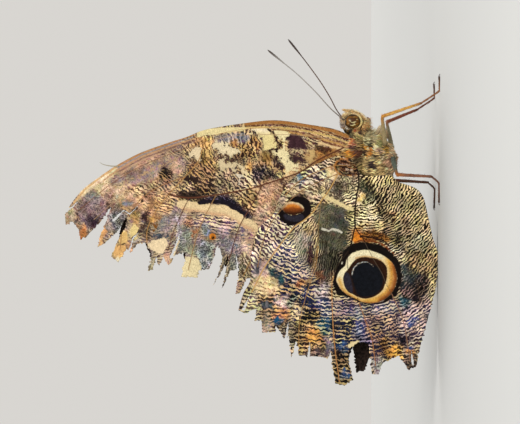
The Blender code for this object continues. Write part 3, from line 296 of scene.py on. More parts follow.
HIND_ZONES = (
    (((-1, 42.4), (-10, 45.4), (-15, 44.6), (-13, 38), (-9, 33), (-3, 33), (3, 40)), "#eedcb8", "#60485a",
    0.5, 1),
    ((-17, 34.5, 9, 6), "#d0b286", "#2a2c46", 0.6, 1), ((-9, 36, 3.6, 4), "#ecdcbc", "#4e4c72", 0.5, 1),
    ((-12.5, 34, 3.2, 2.4), "#d8c4a6", "#3e3e60", 0.56, 1),
    ((-13.2, 30.8, 2.2, 1.2), "#e0ccb0", "#5c5470", 0.48, 1),
    ((-24, 31, 6, 3.6), "#d2b274", "#14161e", 0.62, 0.7), ((-19.5, 30, 3, 3), "#dbc194", "#30355e", 0.6, 1),
    ((-30, 29.5, 5, 4.6), "#d8b47c", "#3a2a28", 0.52, 0.8),
    ((-28.6, 29, 1.6, 2.6), "#e0a45c", "#4c3424", 0.45, 0.8),
    ((-33.2, 29.5, 1.5, 4.5), "#a08c78", "#4c3e3e", 0.58, 0.6),
    ((-25.6, 26.9, 2.8, 1.6), "#bcbca0", "#1c4c68", 0.62, 0.85),
    ((-21.5, 27, 2.2, 1.7), "#ccc0b8", "#364068", 0.6, 1),
    ((-17.6, 27.6, 2.4, 1.8), "#dccccb", "#766870", 0.48, 1),
    ((-31, 26.2, 2.4, 1.1), "#b4a8a4", "#74707c", 0.5, 0.5),
    ((-14.2, 27.4, 1.4, 1.8), "#a8684a", "#5c3426", 0.5, 0.4),
    ((-21.5, 40, 3.6, 3.4), "#d6ae7c", "#3a2e2c", 0.55, 0.7),
    ((-16.2, 41, 2.4, 3.4), "#ecd2a2", "#b8966c", 0.28, 0.4),
    ((-20.4, 37.3, 1.8, 1.4), "#e0c4c0", "#a08890", 0.35, 0.4),
    ((-23.6, 36.6, 1.8, 2.6), "#dc9e68", "#7c5444", 0.45, 0.9),
    ((-24.6, 38.3, 0.9, 1.2), "#8a8a8c", "#2c4c68", 0.6, 0.8),
    ((-25.8, 41.2, 2.8, 1.4), "#ccb098", "#888074", 0.4, 0.4),
    ((-21, 41.1, 1, 1.2), "#7c8688", "#465660", 0.6, 0.2),
    ((-21, 44.6, 2.8, 1.8), "#d8d0a0", "#6a5a58", 0.45, 0.5),
    ((-13.3, 39.7, 1.2, 1.4), "#5c7c76", "#223c3c", 0.66, 0.2),
    ((-15, 37.8, 1.4, 0.9), "#4c7c84", "#1c444e", 0.64, 0.3),
    ((-12.2, 43, 2, 1.2), "#a89ea0", "#6c6670", 0.5, 0.3),
    (((-14.4, 43), (-9.6, 41.8), (-9.4, 40.6), (-14, 41)), "#d8b8a8", "#a88c84", 0.3, 0.2),
    ((-21, 34.6, 2.2, 1.2), "#98a08c", "#10161a", 0.66, 0.8),
    ((-16, 32.6, 1.3, 1.1), "#dc9c5c", "#7a5040", 0.4, 0.8),
    ((-28, 35.6, 3, 1.9), "#b0a084", "#3a3430", 0.55, 0.5),
    ((-23.2, 34, 2, 1.6), "#ecd4a6", "#544a56", 0.46, 0.8),
    ((-8.2, 31.6, 3.4, 1.8), "#aca48c", "#58564a", 0.48, 0.7),
    ((-6, 32.6, 2.6, 2.2), "#c0b29c", "#6c6a5c", 0.42, 0.6),
    ((-9.6, 30.3, 3, 0.6), "#7c5850", "#33202a", 0.66, 0.4),
    (((-19.4, 20.4), (-32.4, 20.4), (-32.4, 25), (-19.4, 25)), "#d2bb88", "#18203c", 0.62, 0.85),
    ((-22, 22.8, 2.6, 2.6), "#bca49c", "#403c5c", 0.56, 1),
    ((-31.2, 22.8, 1.1, 1.3), "#7c90a0", "#254a78", 0.7, 0.5),
    ((-36.4, 22.7, 4.6, 2.6), "#b4966a", "#201a18", 0.62, 0.9),
    ((-38, 22, 1.3, 1.2), "#a4acb0", "#3a5070", 0.55, 0.8),
    ((-27.2, 18.2, 2.8, 2), "#b8b0c4", "#38467c", 0.62, 0.85),
    ((-23, 18.8, 2.1, 2), "#b0aaa8", "#50586c", 0.54, 0.9),
    ((-25, 12.5, 6, 5), "#d0ac8e", "#282640", 0.56, 0.62),
    ((-21.9, 13, 1.6, 4.4), "#ccbcb0", "#484a64", 0.52, 1),
    ((-31.4, 14.4, 3.6, 1.9), "#bc9670", "#24243c", 0.62, 0.55),
    ((-30.4, 12.6, 2.2, 1.6), "#c4905c", "#2c1a18", 0.6, 0.5),
    ((-36, 14.9, 2.6, 1.4), "#d2ccc8", "#605a5c", 0.42, 0.1),
    ((-32.4, 10.4, 1.7, 2.2), "#f0b458", "#54341c", 0.4, 0.7),
    ((-29, 7.8, 2.5, 1.3), "#5a4a60", "#16121c", 0.76, 0.5),
    ((-30, 17.6, 1.6, 1.8), "#9c94a8", "#1c1c38", 0.64, 0.8),
    ((-34, 6.2, 4, 2.2), "#94806e", "#2e2626", 0.56, 0.5),
    ((-32.3, 6.4, 0.8, 1.1), "#e49e4c", "#8a5a38", 0.3, 0.6),
    ((-31.2, 6.5, 0.7, 0.9), "#8a8c9c", "#2c4478", 0.66, 0.5),
    ((-23.6, 5.8, 6, 4), "#ecd2c4", "#483e56", 0.48, 0.8),
    ((-25, 6, 1.3, 1.1), "#b4a4b4", "#34448a", 0.62, 0.9),
    ((-20, 8.3, 1.7, 1.1), "#8cacac", "#1e4c58", 0.6, 0.5),
    ((-17, 5.4, 3.6, 3.4), "#8c7468", "#221c1e", 0.66, 0.9),
    ((-12.8, 6.6, 3.2, 2), "#70746f", "#33393e", 0.62, 0.6),
    (((9.8, 19), (10.4, 11), (8, 8), (6.8, 4.6), (0.4, 2), (-6, 0.6), (-11, 0.2), (-9, 5), (-7, 9),
      (-3, 13), (0, 16)), "#f8e0aa", "#201710", 0.48, 1),
    ((-10.6, 4, 3, 3.6), "#d0b484", "#3a2c1e", 0.48, 1),
    ((-2, 8.2, 3.6, 1.5), "#d8c094", "#3a3020", 0.48, 1),
    ((-1, 11.6, 2.4, 1.1), "#b4845c", "#402418", 0.5, 1),
    ((-6, 4.6, 2.4, 2.6), "#d4cca8", "#23261f", 0.48, 1),
    ((-6.4, 10.2, 3, 1.9), "#d4ccae", "#161a1a", 0.58, 1),
    ((0.4, 14, 3.2, 1), "#d4ccb0", "#1c1c14", 0.58, 0.9),
    (((-2.2, 14.6), (3.4, 14.6), (5.4, 17.4), (8.8, 18.8), (8, 19.6), (-2.2, 19.8)), "#fcecbc", "#32220f",
    0.45, 0.9),
    (((-1.8, 12), (-5.6, 10.6), (-6.4, 15), (-6.2, 19.6), (-1.9, 19.8)), "#b87c3c", "#44240e", 0.46, 0.5),
    ((-2.4, 15, 1.3, 3), "#f0d8a4", "#40301c", 0.42, 0.9),
    ((-4.8, 19.6, 1.6, 0.9), "#da8428", "#a85c20", 0.15, 0.1),
    (((-6, 21.7), (2, 21.1), (3.5, 24.6), (4.3, 27.2), (0.4, 29.9), (-3.7, 28.9), (-8, 28.3), (-9, 25.6),
      (-8, 22.6)), "#66644f", "#4a493c", 0.5, 0.35),
    ((-1, 23.6, 2.8, 2.2), "#5e5c54", "#484942", 0.5, 0.3),
    ((0, 27.2, 3, 1.8), "#827c62", "#5c5844", 0.45, 0.3),
    ((-0.6, 20.9, 2.8, 0.7), "#ded294", "#3a3828", 0.48, 1),
    ((-11.4, 26.8, 5.2, 1.9), "#5a5648", "#2c2a22", 0.6, 0.8),
    ((-13.8, 27.6, 1.2, 1), "#8c6048", "#5a3428", 0.5, 0.3),
    (((4, 20), (10, 20), (10.4, 26), (8.6, 29.6), (5.6, 30), (4.6, 27), (3, 24)), "#e4cfa2", "#4a3a32",
    0.53, 0.15),
    ((6.6, 24, 2.6, 1.6), "#ae9e86", "#54483c", 0.55, 0.2),
    ((5.6, 21.2, 2, 1.1), "#f0dfb4", "#4a3c30", 0.48, 1),
    ((10.8, 28.6, 2.4, 3), "#ecdcb8", "#58464c", 0.5, 0.9),
    ((12.9, 27, 1, 1.8), "#dcc8a0", "#4a382c", 0.48, 0.8),
    ((10.6, 25.1, 1.6, 1.1), "#f4e0b4", "#ccac7c", 0.15, 0.1),
    ((8, 32.6, 1.8, 2.2), "#e8dccc", "#6a6a6c", 0.48, 0.7),
    ((9.4, 32.8, 0.9, 0.6), "#8ca0a8", "#4a6478", 0.5, 0.2),
    ((5.5, 31, 1, 2.2), "#e6bca0", "#b08c78", 0.3, 0.2),
    ((3.2, 37.6, 2.6, 1), "#c8b494", "#7c6c5c", 0.4, 0.4),
    (((10, 19.4), (12, 19.2), (13.9, 21), (13.9, 24), (12.6, 24.9), (11.2, 24.4), (10.2, 22.8)), "#a4704a",
    "#3a2218", 0.62, 0.6),
    (((3.4, 15.4), (5.6, 15), (8.6, 16.2), (9.4, 18.9), (6, 18.4), (4, 17.6)), "#94906c", "#3c3c2e", 0.62,
    0.3),
    ((4.8, 18.7, 0.9, 0.7), "#ecd080", "#b89850", 0.2, 0.1),
    (((-8.6, 9.6), (-4, 12.6), (2, 15), (6, 16.6), (9.4, 18.2), (9.2, 17), (5, 13.8), (-1, 11), (-6, 8.4)),
    "#a89870", "#1e1a14", 0.62, 0.9),
    ((-10.4, 24.2, 3, 1.8), "#54503e", "#14120c", 0.62, 0.8),
    ((6.8, 34.6, 1.8, 1.6), "#f6deb6", "#8c7058", 0.36, 0.8),
    ((7.2, 30.8, 2, 1.5), "#fff0c8", "#8c7458", 0.34, 0.9),
    ((4.8, 33.6, 0.8, 2), "#a08468", "#3a2a24", 0.58, 0.6),
    ((-2.8, 30.6, 1.9, 1.3), "#e4c896", "#6c5844", 0.44, 0.8))

# Sharp marks over the zones: a loop and its colour, or a line with its colour and width. A calm part
# keeps the borders of its marks smooth, and a tint changes the colour of the pale marks under it.
FORE_MARKS = (
    ("calm", ((15, 20), (17, 28), (19.6, 34), (20.6, 44), (19, 57), (12, 72), (6, 80), (1, 90), (24, 90),
              (24, 20)), 0.2),
    ("calm", ((0, 46), (0, 56), (3, 63.4), (5, 63), (4, 50), (0, 43), (-5, 42)), 0.5),
    ("calm", ((-6.4, 52.2), (-6.4, 55.6), (-3.2, 55.6), (-3.2, 52.2)), 0.3),
    ("calm", ((-15, 57), (-15, 62), (-9, 69), (-5, 69), (-5, 64), (-9.6, 57)), 0.5),
    ("pale", ((-8.9, 66.6), (-8.1, 68), (-6.8, 69), (-5.6, 68), (-4.9, 66.4), (-5.8, 64.9), (-7.8, 65.3)),
    "#f2dcb4"),
    ("ink line", ((-5, 68.2), (-4.4, 66.6), (-4.8, 65.2)), "#55606a", 0.5),
    ("pale", ((-10.2, 57.3), (-14.6, 57.2), (-14.6, 61.6), (-10, 60.9)), "#eadbae"),
    ("calm", ((-11.4, 78.4), (-3, 78), (-0.6, 72), (-5.6, 70)), 0.4),
    ("pale", ((-9.7, 76), (-10.9, 76), (-10.8, 77.3), (-9.8, 77.2)), "#efe2c0"),
    ("pale", ((-9.2, 77.8), (-9.3, 76.6), (-8.2, 75), (-6.9, 74.8), (-6.6, 76), (-7, 77)), "#e4b474"),
    ("pale", ((-6.3, 76.4), (-6.6, 74.8), (-5.2, 74.4), (-3.8, 74.4), (-3.6, 75.2), (-4.8, 76.1)),
    "#e6c07c"),
    ("pale", ((-5, 73.4), (-4.3, 71.9), (-3, 71.3), (-1.9, 72), (-2, 73.1), (-3.6, 73.8)), "#eed694"),
    ("pale", ((3.4, 63), (4, 61.5), (4, 60), (3.6, 58), (3.3, 56), (3, 54), (2.9, 52), (2.6, 50.4),
              (1.9, 49), (1.2, 47.8), (0.2, 46.3), (-1.2, 44.2), (-2.4, 43), (-3.8, 43.4), (-3.2, 45.4),
              (-2.4, 46.8), (-1.4, 48.4), (-0.2, 50), (0.3, 52), (0.5, 54), (1, 56.4), (1.4, 58.6),
              (1.7, 60.6), (2.5, 62.4)), "#ecd3a4"),
    ("tint", ((1.8, 61), (1.2, 57.4), (0.7, 54), (0.3, 51), (-1.6, 47.8), (-3.2, 44.4)), "#d6ab84", 0.9),
    ("pale", ((21.5, 45.4), (20.9, 46), (20.4, 49.6), (19.8, 52.7), (19.8, 55), (18.9, 57.4), (20.2, 57.6),
              (21, 56), (21.4, 52.7), (21.5, 49.6)), "#ecdca4"),
    ("pale", ((14.1, 58.9), (15.3, 59.6), (16.9, 58.1), (16.2, 57.2), (14.8, 56.8), (13.7, 57.4)),
    "#ecd8b2"),
    ("pale", ((11, 52), (13, 52.5), (14, 51.9), (13.9, 50.9), (13.3, 50.3), (13.4, 49), (13.2, 48.1),
              (11.4, 48.3), (11.3, 49.6), (12.1, 50.3), (11.5, 51.2)), "#dccaa2"),
    ("pale", ((14.8, 51.5), (16.4, 52.7), (17.3, 53.7), (18.2, 52.7), (18.1, 51.8), (17.3, 51.2),
              (17.5, 50.4), (16.4, 49.9), (16.4, 48.7), (15.7, 47.6), (14.8, 48.4), (15.1, 49.6),
              (14.5, 50.1), (15, 50.9)), "#efdfb8"),
    ("pale", ((8.6, 47.3), (9.4, 48.3), (10.3, 48.3), (9.6, 47.4)), "#e8dcc4"),
    ("pale", ((9.4, 46.5), (11.1, 46.9), (12.7, 47.2), (12, 46.5), (10.8, 45.6), (9.3, 45.6)), "#ead6ac"),
    ("pale", ((21.1, 45), (21.3, 41), (19.6, 39.7), (17.2, 38), (16.5, 39), (16.1, 40.5), (17.6, 41.8),
              (19.4, 42.2), (20.1, 43.5)), "#eedd9e"),
    ("tint", ((21, 45), (21, 42.6), (20.8, 41)), "#fbecca", 1.4),
    ("pale", ((10.3, 36.2), (11.6, 36.8), (14.2, 38.7), (15.8, 39.6), (16.4, 37.6), (17, 37), (18.5, 37.6),
              (19.5, 38.4), (20.9, 39.3), (20.6, 37.2), (20.2, 35.6), (18.8, 36.2), (17.3, 36.4),
              (16.4, 35.8), (15.5, 36.4), (14.8, 35.5), (13.4, 34.9), (12.4, 33.5), (11.7, 34), (10.7, 35)),
              "#f4e6b4"),
    ("pale", ((12.4, 29.8), (15.8, 29.4), (16.6, 31), (15.9, 31.6), (14.9, 31.2), (13.4, 30.9)), "#ccac74"),
    ("ink", ((13.9, 35.2), (14.8, 35.6), (14.7, 32.6), (14, 31.4), (12.6, 31.4), (12.9, 32.6), (13.6, 33.6),
             (13.2, 34.4)), "#3e282c"),
    ("pale line", ((15.6, 35.8), (15.7, 33.4), (15.9, 31.4)), "#d8c294", 0.45),
    ("ink", ((16.5, 34.9), (17.2, 35.5), (18.4, 35.8), (19.8, 35.5), (20.1, 34.4), (19.2, 33), (17.8, 32),
             (16.9, 31.1), (16.4, 31.6)), "#40282e"),
    ("ink", ((6.3, 36.4), (8.5, 36.5), (8.4, 37.6), (6.4, 37.5)), "#5c4033"),
    ("ink", ((8.4, 57), (10.1, 57.4), (9.8, 60), (8.5, 59.6)), "#33241f"),
    ("ink line", ((-6.9, 76.8), (-6.6, 75.6), (-6.2, 74.8)), "#5a4434", 0.25),
    ("ink line", ((-5.2, 73.6), (-4.4, 72.3), (-2.8, 71.3), (-1.9, 72.3)), "#4a3a2e", 0.3),
    ("ink", ((7.4, 54), (8.8, 54.2), (8.6, 55.2), (7.6, 55)), "#33251f"),
    ("ink line", ((10.4, 36.6), (11.5, 37.4), (12.6, 37.8), (13.4, 38.8), (14.2, 39.7), (15.6, 40.2),
                  (16, 39.8), (16.4, 38.4), (16.9, 37.5), (17.6, 37.9), (18.6, 38.6), (19.7, 38.9),
                  (20.4, 39.9), (21.2, 40.7)), "#34201f", 0.45),
    ("ink line", ((14.5, 52.6), (14.3, 51.2), (13.9, 50.2), (14.2, 49), (13.9, 47.8)), "#5a4034", 0.35),
    ("ink line", ((3.6, 57), (3.8, 54.6), (3.7, 52.4), (3.3, 50.4), (2.3, 48.8), (1.2, 47), (0.2, 45.4)),
    "#1a1620", 0.9),
    ("ink line", ((4.9, 56), (4.7, 59), (5.1, 63)), "#33251f", 0.5),
    ("ink line", ((-1.2, 87.3), (0.5, 86.3), (2.5, 85), (4.2, 84)), "#5a4644", 0.25),
    ("ink line", ((0.2, 79.5), (1.5, 78.8), (2.6, 78.6), (3.8, 79.1)), "#5a4238", 0.3),
    ("ink line", ((0.7, 73.9), (2, 72.5), (3.8, 70.8), (5, 70), (6.3, 68.4), (7.1, 67.5)), "#4a362c", 0.28),
    ("ink line", ((-5, 67.5), (-4.3, 65)), "#3c3c46", 0.4),
    ("ink line", ((-5, 73), (-3, 71), (-0.5, 70.2)), "#4e3a2e", 0.3),
    ("ink line", ((-1.6, 68), (-3.6, 67.4)), "#8a5a28", 0.5),
    ("pale line", ((-3, 54.6), (-4.2, 55.4)), "#a4acd0", 0.4),
    ("pale line", ((-9.5, 63.6), (-5.5, 62)), "#efdcb0", 0.45),
    ("ink line", ((-4.7, 54), (-4.71, 54)), "#d8842a", 1.6, True),
    ("ink line", ((-4.95, 53.9), (-4.96, 53.9)), "#140f0f", 0.8, True),
    ("pale line", ((19.7, 58.6), (17.85, 63.9), (15.2, 71.2), (12.2, 76.9), (9.5, 80.8)), "#c08a58", 0.4,
    True),
    ("ink line", ((19.25, 58.5), (17.45, 63.8), (14.85, 71.1), (11.8, 76.7)), "#a19a9c", 0.3, True),
    ("pale line", ((18.8, 58.4), (17.1, 63.6), (14.5, 70.9), (11.4, 76.5), (8.9, 80)), "#c79c76", 0.4,
    True),
    ("ink line", ((18.4, 58.3), (16.7, 63.4), (14.1, 70.7), (11, 76.3)), "#8c6a5e", 0.28, True),
    ("pale line", ((18, 58.2), (16.35, 63.3), (13.75, 70.6), (10.6, 76.1)), "#d0aa88", 0.3, True),
    ("pale line", ((14.8, 60.6), (12.6, 65.8), (10.2, 70.6), (8.4, 75)), "#c8a680", 0.3, True),
    ("pale line", ((19.2, 21.6), (20.6, 25), (21.8, 31), (22.6, 36.2), (22.8, 40), (22.5, 44.2),
                   (22.3, 46)), "#a8743f", 0.8, True),
    ("ink line", ((18.4, 21.4), (19.7, 24.6), (21.1, 31), (21.9, 36.2), (22.15, 40), (21.8, 44.2),
                  (21.7, 46)), "#6a3322", 0.3, True),
    ("pale line", ((17.8, 21.6), (19.1, 25), (20.5, 31), (21.3, 36.2), (21.55, 40), (21.5, 44.4),
                   (21.4, 46)), "#dcbc74", 0.42, True),
    ("ink line", ((17.4, 21.8), (18.4, 25), (19.9, 31), (20.8, 36.2), (21, 40)), "#8a5430", 0.26, True),
    ("pale line", ((17, 22), (18, 25.4), (19.4, 31), (20.3, 35.6)), "#cc9c58", 0.4, True),
    ("ink line", ((16.7, 22.4), (17.4, 25.4), (18.6, 28.6), (19.2, 31)), "#6e3422", 0.32, True),
    ("pale line", ((16.2, 22.6), (16.8, 25.4), (17.8, 28.4)), "#e4c492", 0.6, True),
    ("ink line", ((15.8, 23.4), (16.1, 25.6), (16.8, 27.6)), "#5c3420", 0.35, True),
    ("pale line", ((12.4, 76.6), (9.6, 80.7), (6.6, 84.6), (3.4, 87.2)), "#dcb480", 0.45))

EYESPOT_OUTER = (
    (-15.2, 24.3), (-13, 23.6), (-11.6, 22.2), (-10, 21.8), (-8.7, 20.6), (-7.9, 18.6), (-7.9, 16.5),
    (-8.6, 14.4), (-9.6, 12.4), (-11, 10.9), (-12.6, 10.1), (-14.4, 9.7), (-16.4, 10), (-18.4, 11.2),
    (-20, 13.2), (-20.6, 15.6), (-20.4, 18), (-19.5, 19.8), (-18.8, 21.4), (-17.4, 23.2))
EYESPOT_INNER = (
    (-15.2, 22.7), (-13.6, 22.4), (-12.4, 21.4), (-11.2, 20.6), (-10, 19.4), (-9.6, 17.6), (-9.8, 15.8),
    (-10.4, 13.8), (-11.8, 12.4), (-13.6, 12.1), (-15.6, 12.5), (-17.4, 13.2), (-18.8, 14.8), (-19.5, 16.8),
    (-19.3, 18.6), (-18.6, 20.2), (-17.6, 21.8))
PUPIL = (
    (-19.1, 18), (-18.4, 19.4), (-16, 20.3), (-13.8, 20.7), (-12, 20.3), (-11, 19), (-10.8, 17),
    (-11.5, 15.2), (-12.8, 13.7), (-15, 13.1), (-17.4, 13.8), (-18.8, 15.6))
HIND_MARKS = (
    ("calm", ((-7.4, 17), (-9, 11.5), (-14.5, 9), (-20, 11), (-21.4, 17), (-20, 23), (-15, 25),
              (-10, 22.6)), 0.1),
    ("calm", ((3.4, 36.4), (4.6, 33.4), (2, 30.8), (-1.6, 34), (0, 37.6)), 0.25),
    ("ink", ((0.4, 38.2), (2.5, 37.4), (4.2, 35.4), (5, 33.4), (4.6, 31.4), (3.2, 30.3), (1.4, 30.3),
             (-0.4, 31.4), (-1.6, 33.4), (-2, 35.4), (-1.2, 37.2)), "#130c0c"),
    ("ink", ((-1.2, 34.2), (-0.6, 36.4), (0.6, 36.8), (0.4, 34.4), (0.6, 32.6), (-0.4, 32)), "#2a2832"),
    ("pale", ((0.5, 35.4), (1.2, 36.7), (2.3, 37.2), (3.4, 36.4), (3.7, 35), (3.4, 33.4), (2.4, 32.1),
              (1.3, 32.2), (0.6, 33.8)), "#b05c22"),
    ("tint", ((1, 36.8), (0.7, 34.6), (1.1, 32.4)), "#1a0c06", 1.9),
    ("tint", ((2.6, 36.2), (2.9, 34.8), (2.6, 33.4)), "#e08c34", 0.6),
    ("tint", ((2.6, 37.1), (3.5, 36), (3.6, 34.4), (3.1, 33), (2.4, 32.2)), "#f3deb0", 0.6),
    ("ink line", ((-4.7, 18.4), (-4.8, 15.8), (-5.6, 13.4), (-7.2, 11.2)), "#28160e", 0.5),
    ("ink line", ((-3.6, 17.6), (-3.8, 15.4), (-4.6, 13.2)), "#3a2414", 0.3),
    ("ink", ((-8.2, 22.6), (-6.6, 20.8), (-6.1, 18.8), (-6.1, 16.4), (-6.9, 13.6), (-8.6, 11), (-10.6, 9.4),
             (-13.4, 8.7), (-16.8, 9.1), (-19.4, 10.8), (-20.7, 13.6), (-20.8, 17.6), (-19.5, 20.8),
             (-18.9, 22.6), (-18.4, 24.3), (-15.6, 25.1), (-12.6, 24.2), (-10.2, 23.2)), "#120c0a"),
    ("pale line", ((-6, 20), (-5.6, 17.6), (-5.7, 15.4), (-6.5, 13.4), (-8.1, 11.4), (-9.2, 10.4)),
    "#80441f", 0.42),
    ("pale", EYESPOT_OUTER, "#f7edc4"),
    ("tint", ((-10.4, 11.8), (-13, 11.1), (-15.4, 11.2), (-17.8, 12.2), (-19.4, 14.2), (-20.2, 16.6)),
    "#e8b652", 1.9),
    ("tint", ((-11.2, 10.7), (-14.4, 10.1), (-16.8, 10.6), (-18.9, 12.1), (-20.4, 14.6)), "#b8641a", 1.4),
    ("tint", ((-11.8, 9.9), (-14.4, 9.4), (-16.8, 9.8), (-19.1, 11.4), (-20.7, 13.8)), "#3c1a0a", 1.3),
    ("tint", ((-20, 15), (-20, 18.4), (-18.8, 20.8), (-17.2, 22.8), (-15, 23.6)), "#dfae50", 1.0),
    ("tint", ((-20.6, 15), (-20.5, 18.4), (-19.2, 20.8), (-17.6, 23.2), (-15.6, 24.6)), "#a05c20", 0.5),
    ("tint", ((-9.9, 19.6), (-9.5, 17.6), (-9.7, 15.8), (-10.4, 13.8), (-12, 12.6), (-14.6, 12.3)),
    "#c08a3c", 0.45),
    ("ink", EYESPOT_INNER, "#2c170c"),
    ("ink", ((-18, 20.4), (-14, 21), (-13.4, 22.3), (-15.4, 22.5), (-17.4, 21.8)), "#2a2834"),
    ("ink", PUPIL, "#10131a"),
    ("pale line", ((-13.9, 20.6), (-12.3, 20.2), (-11.2, 19.2), (-10.8, 17.9), (-10.8, 17)), "#dfe6e8",
    0.22),
    ("pale line", ((-10.9, 17), (-11.3, 16), (-12, 15.3)), "#9aa0a6", 0.1),
    ("pale line", ((-10.8, 22.8), (-11.2, 23)), "#efe8d0", 0.35),
    ("ink line", ((-3.6, 22.6), (-5.4, 23.6), (-8, 24.2)), "#2a281e", 0.2),
    ("ink line", ((-4, 24.4), (-6, 25.2), (-9, 25.6)), "#2a281e", 0.2),
    ("ink line", ((-4, 26.6), (-6.4, 26.7), (-8.6, 27.2)), "#33301f", 0.16),
    ("pale line", ((-4.4, 23.8), (-6.6, 24.7), (-9.4, 25)), "#77735e", 0.16),
    ("pale line", ((-4, 25.6), (-6.4, 26.1), (-10, 26.5)), "#827a64", 0.16),
    ("pale line", ((-0.6, 28.6), (-1, 26.4), (-1.4, 24.6)), "#7c7a68", 0.2),
    ("pale line", ((-2.8, 27.6), (-3.4, 26.2), (-2.9, 25), (-3.6, 23)), "#d9d6c4", 0.5),
    ("pale line", ((5.3, 27.4), (3.9, 24.9), (2.4, 22.2), (1.8, 20.6)), "#ecd9a2", 0.9),
    ("pale line", ((-30, 19.4), (-30.9, 21)), "#f0dca8", 1.1),
    ("ink line", ((-12, 43.1), (-13.2, 43.3)), "#4c4a50", 0.7),
    ("ink line", ((-20.4, 40.9), (-21.4, 41)), "#6c6a70", 0.7),
    ("ink line", ((-24.1, 38.4), (-24.7, 38.7)), "#22587e", 0.9),
    ("ink line", ((-37.7, 21.3), (-38.3, 21.4)), "#34507a", 0.7),
    ("ink line", ((-36.3, 22.3), (-36.9, 22.4)), "#3a5684", 0.6),
    ("pale line", ((-16, 43.8), (-12, 41.7), (-8, 38.9)), "#c8a8a4", 0.35),
    ("pale line", ((10.2, 19.6), (10.1, 22.4), (10.6, 24), (11.8, 24.7), (13.2, 24.5), (13.9, 23.4),
                   (13.9, 21.6)), "#b87838", 0.3),
    ("ink line", ((10.4, 19.8), (10.35, 22.4), (10.9, 23.9), (12, 24.4), (13.2, 24.1), (13.65, 22.6)),
    "#1d100b", 0.3),
    ("pale line", ((11.3, 20.6), (11.5, 22)), "#cdb49c", 0.35),
    ("pale line", ((12.5, 21.4), (12.7, 23.8)), "#b49a8c", 0.3),
    ("pale line", ((-8.4, 8), (-4.7, 6.5), (-3.4, 5), (-2, 3.9), (0, 3.3), (4, 3.7)), "#c9b384", 0.25),
    ("ink line", ((-5.6, 6.9), (-4.2, 5.1), (-3.1, 3.6), (-2, 2.8)), "#1d1613", 0.4))

# Coat colours and painted light on the body, seen from the side: where, how big a spot, and its hairs'
# colour
BODY_SPOTS_AND_THROAT_LIGHT = (
    ((12.6, 16.0), 1.0, "#33262c"), ((17.2, 16.8), 0.9, "#262c22"), ((14.5, 15.3), 0.55, "#3c2c24"),
    ((15.4, 19.0), 0.9, "#5a2c20"), ((15.6, 17.8), 0.75, "#3c241a"), ((14.7, 17.3), 0.42, "#d4882c"),
    ((15.2, 16.5), 0.45, "#dc8c2c"), ((16.0, 16.4), 0.45, "#d8882a"), ((16.6, 17.4), 0.45, "#e09c30"),
    ((16.9, 18.4), 0.4, "#e4a834"), ((17.4, 20.1), 0.55, "#c86a5c"), ((16.3, 19.9), 0.5, "#4a2c30"),
    ((15.1, 20.9), 1.0, "#f09c3c"), ((13.2, 20.4), 0.8, "#90603a"), ((18.2, 20.8), 0.8, "#b8742f"),
    ((14.2, 16.0), 0.4, "#b4ac88"), ((15.6, 14.2), 0.7, "#c8a48c"), ((17.6, 14.2), 0.8, "#9c9c66"),
    ((16.2, 12.8), 0.8, "#b0883c"), ((13.0, 12.0), 1.4, "#c2997c"), ((12.0, 18.6), 0.8, "#8c7a4a"),
    ((13.4, 19.4), 0.7, "#4a3c28"), ((14.0, 13.6), 0.6, "#d8c4a0"), ((16.6, 15.3), 0.4, "#dcc8a4"),
    ((18.5, 17.2), 0.9, "#ccc090"), ((18.4, 15.4), 0.8, "#dccca0"), ((19.5, 20.4), 0.6, "#6e684a"),
    ((18.6, 18.9), 0.6, "#8c8450"), ((20.1, 18.7), 0.55, "#5c4644"), ((21.0, 19.8), 0.42, "#b04432"),
    ((20.7, 20.9), 0.5, "#2a2b22"), ((20.6, 22.2), 0.6, "#5c5038"), ((21.3, 21.8), 0.5, "#c8bca8"),
    # Pale throat and chin hairs, painted near white as painted light on the shaded underside
    ((19.4, 14.6), 0.9, "#ffd89c"), ((20.4, 15.8), 0.9, "#ffd4a4"), ((21.2, 16.9), 0.8, "#fff0dc"),
    ((21.5, 17.8), 0.7, "#ffbc7c"), ((22.5, 17.8), 0.6, "#fcd8a4"), ((23.4, 18.0), 0.6, "#fff0c4"),
    ((22.3, 22.8), 0.8, "#a0948e"), ((23.5, 22.7), 0.5, "#b8a498"), ((22.8, 16.8), 0.7, "#c2b0b4"),
    ((24.0, 18.4), 0.7, "#e6d6ac"), ((24.9, 20.2), 0.8, "#f0dcc0"), ((24.4, 21.7), 0.8, "#ffd6c4"))


# Legs: hip, knee, ankle, heel and toe on the right side, and how the left ones are set apart
LEG_ROUTES = {
    "midleg": ((17.4, 2.0, 12.6), (23.9, 9.4, 13.6), (27.0, 12.6, 4.4), (29.6, 13.9, 0.6),
               (33.2, 15.0, 0.2)),
    "hindleg": ((14.3, 1.5, 10.9), (10.1, 7.9, 10.0), (9.6, 11.4, 1.9), (8.2, 12.1, 0.45),
                (3.4, 14.0, 0.2))}
LEG_SHIFTS = {("midleg", "right"): (0.0, 0.0), ("midleg", "left"): (-0.9, -1.7),
              ("hindleg", "right"): (0.0, 0.0), ("hindleg", "left"): (-1.2, 0.6)}
# Femur, knee, shin and foot colours; the far (left) legs are mostly darker: painted shade on the far side
LEG_COLOURS_AND_FAR_SHADE = {
    ("midleg", "right"): ("#b8a67c", "#cc8e3c", "#d8a650", "#8a5a34"),
    ("midleg", "left"): ("#8f8768", "#9a5a3a", "#8a4a34", "#6a3c2a"),
    ("hindleg", "right"): ("#6a7468", "#b8702e", "#8a5a40", "#6a4430"),
    ("hindleg", "left"): ("#8a7c68", "#8a5432", "#6e4632", "#5a3a2a")}

THIGH_RADII, SHIN_RADII = (0.45, 0.5, 0.46, 0.34, 0.26), (0.36, 0.37, 0.34, 0.3, 0.28, 0.29)
CLAW_RADII = (0.08, 0.07, 0.02)


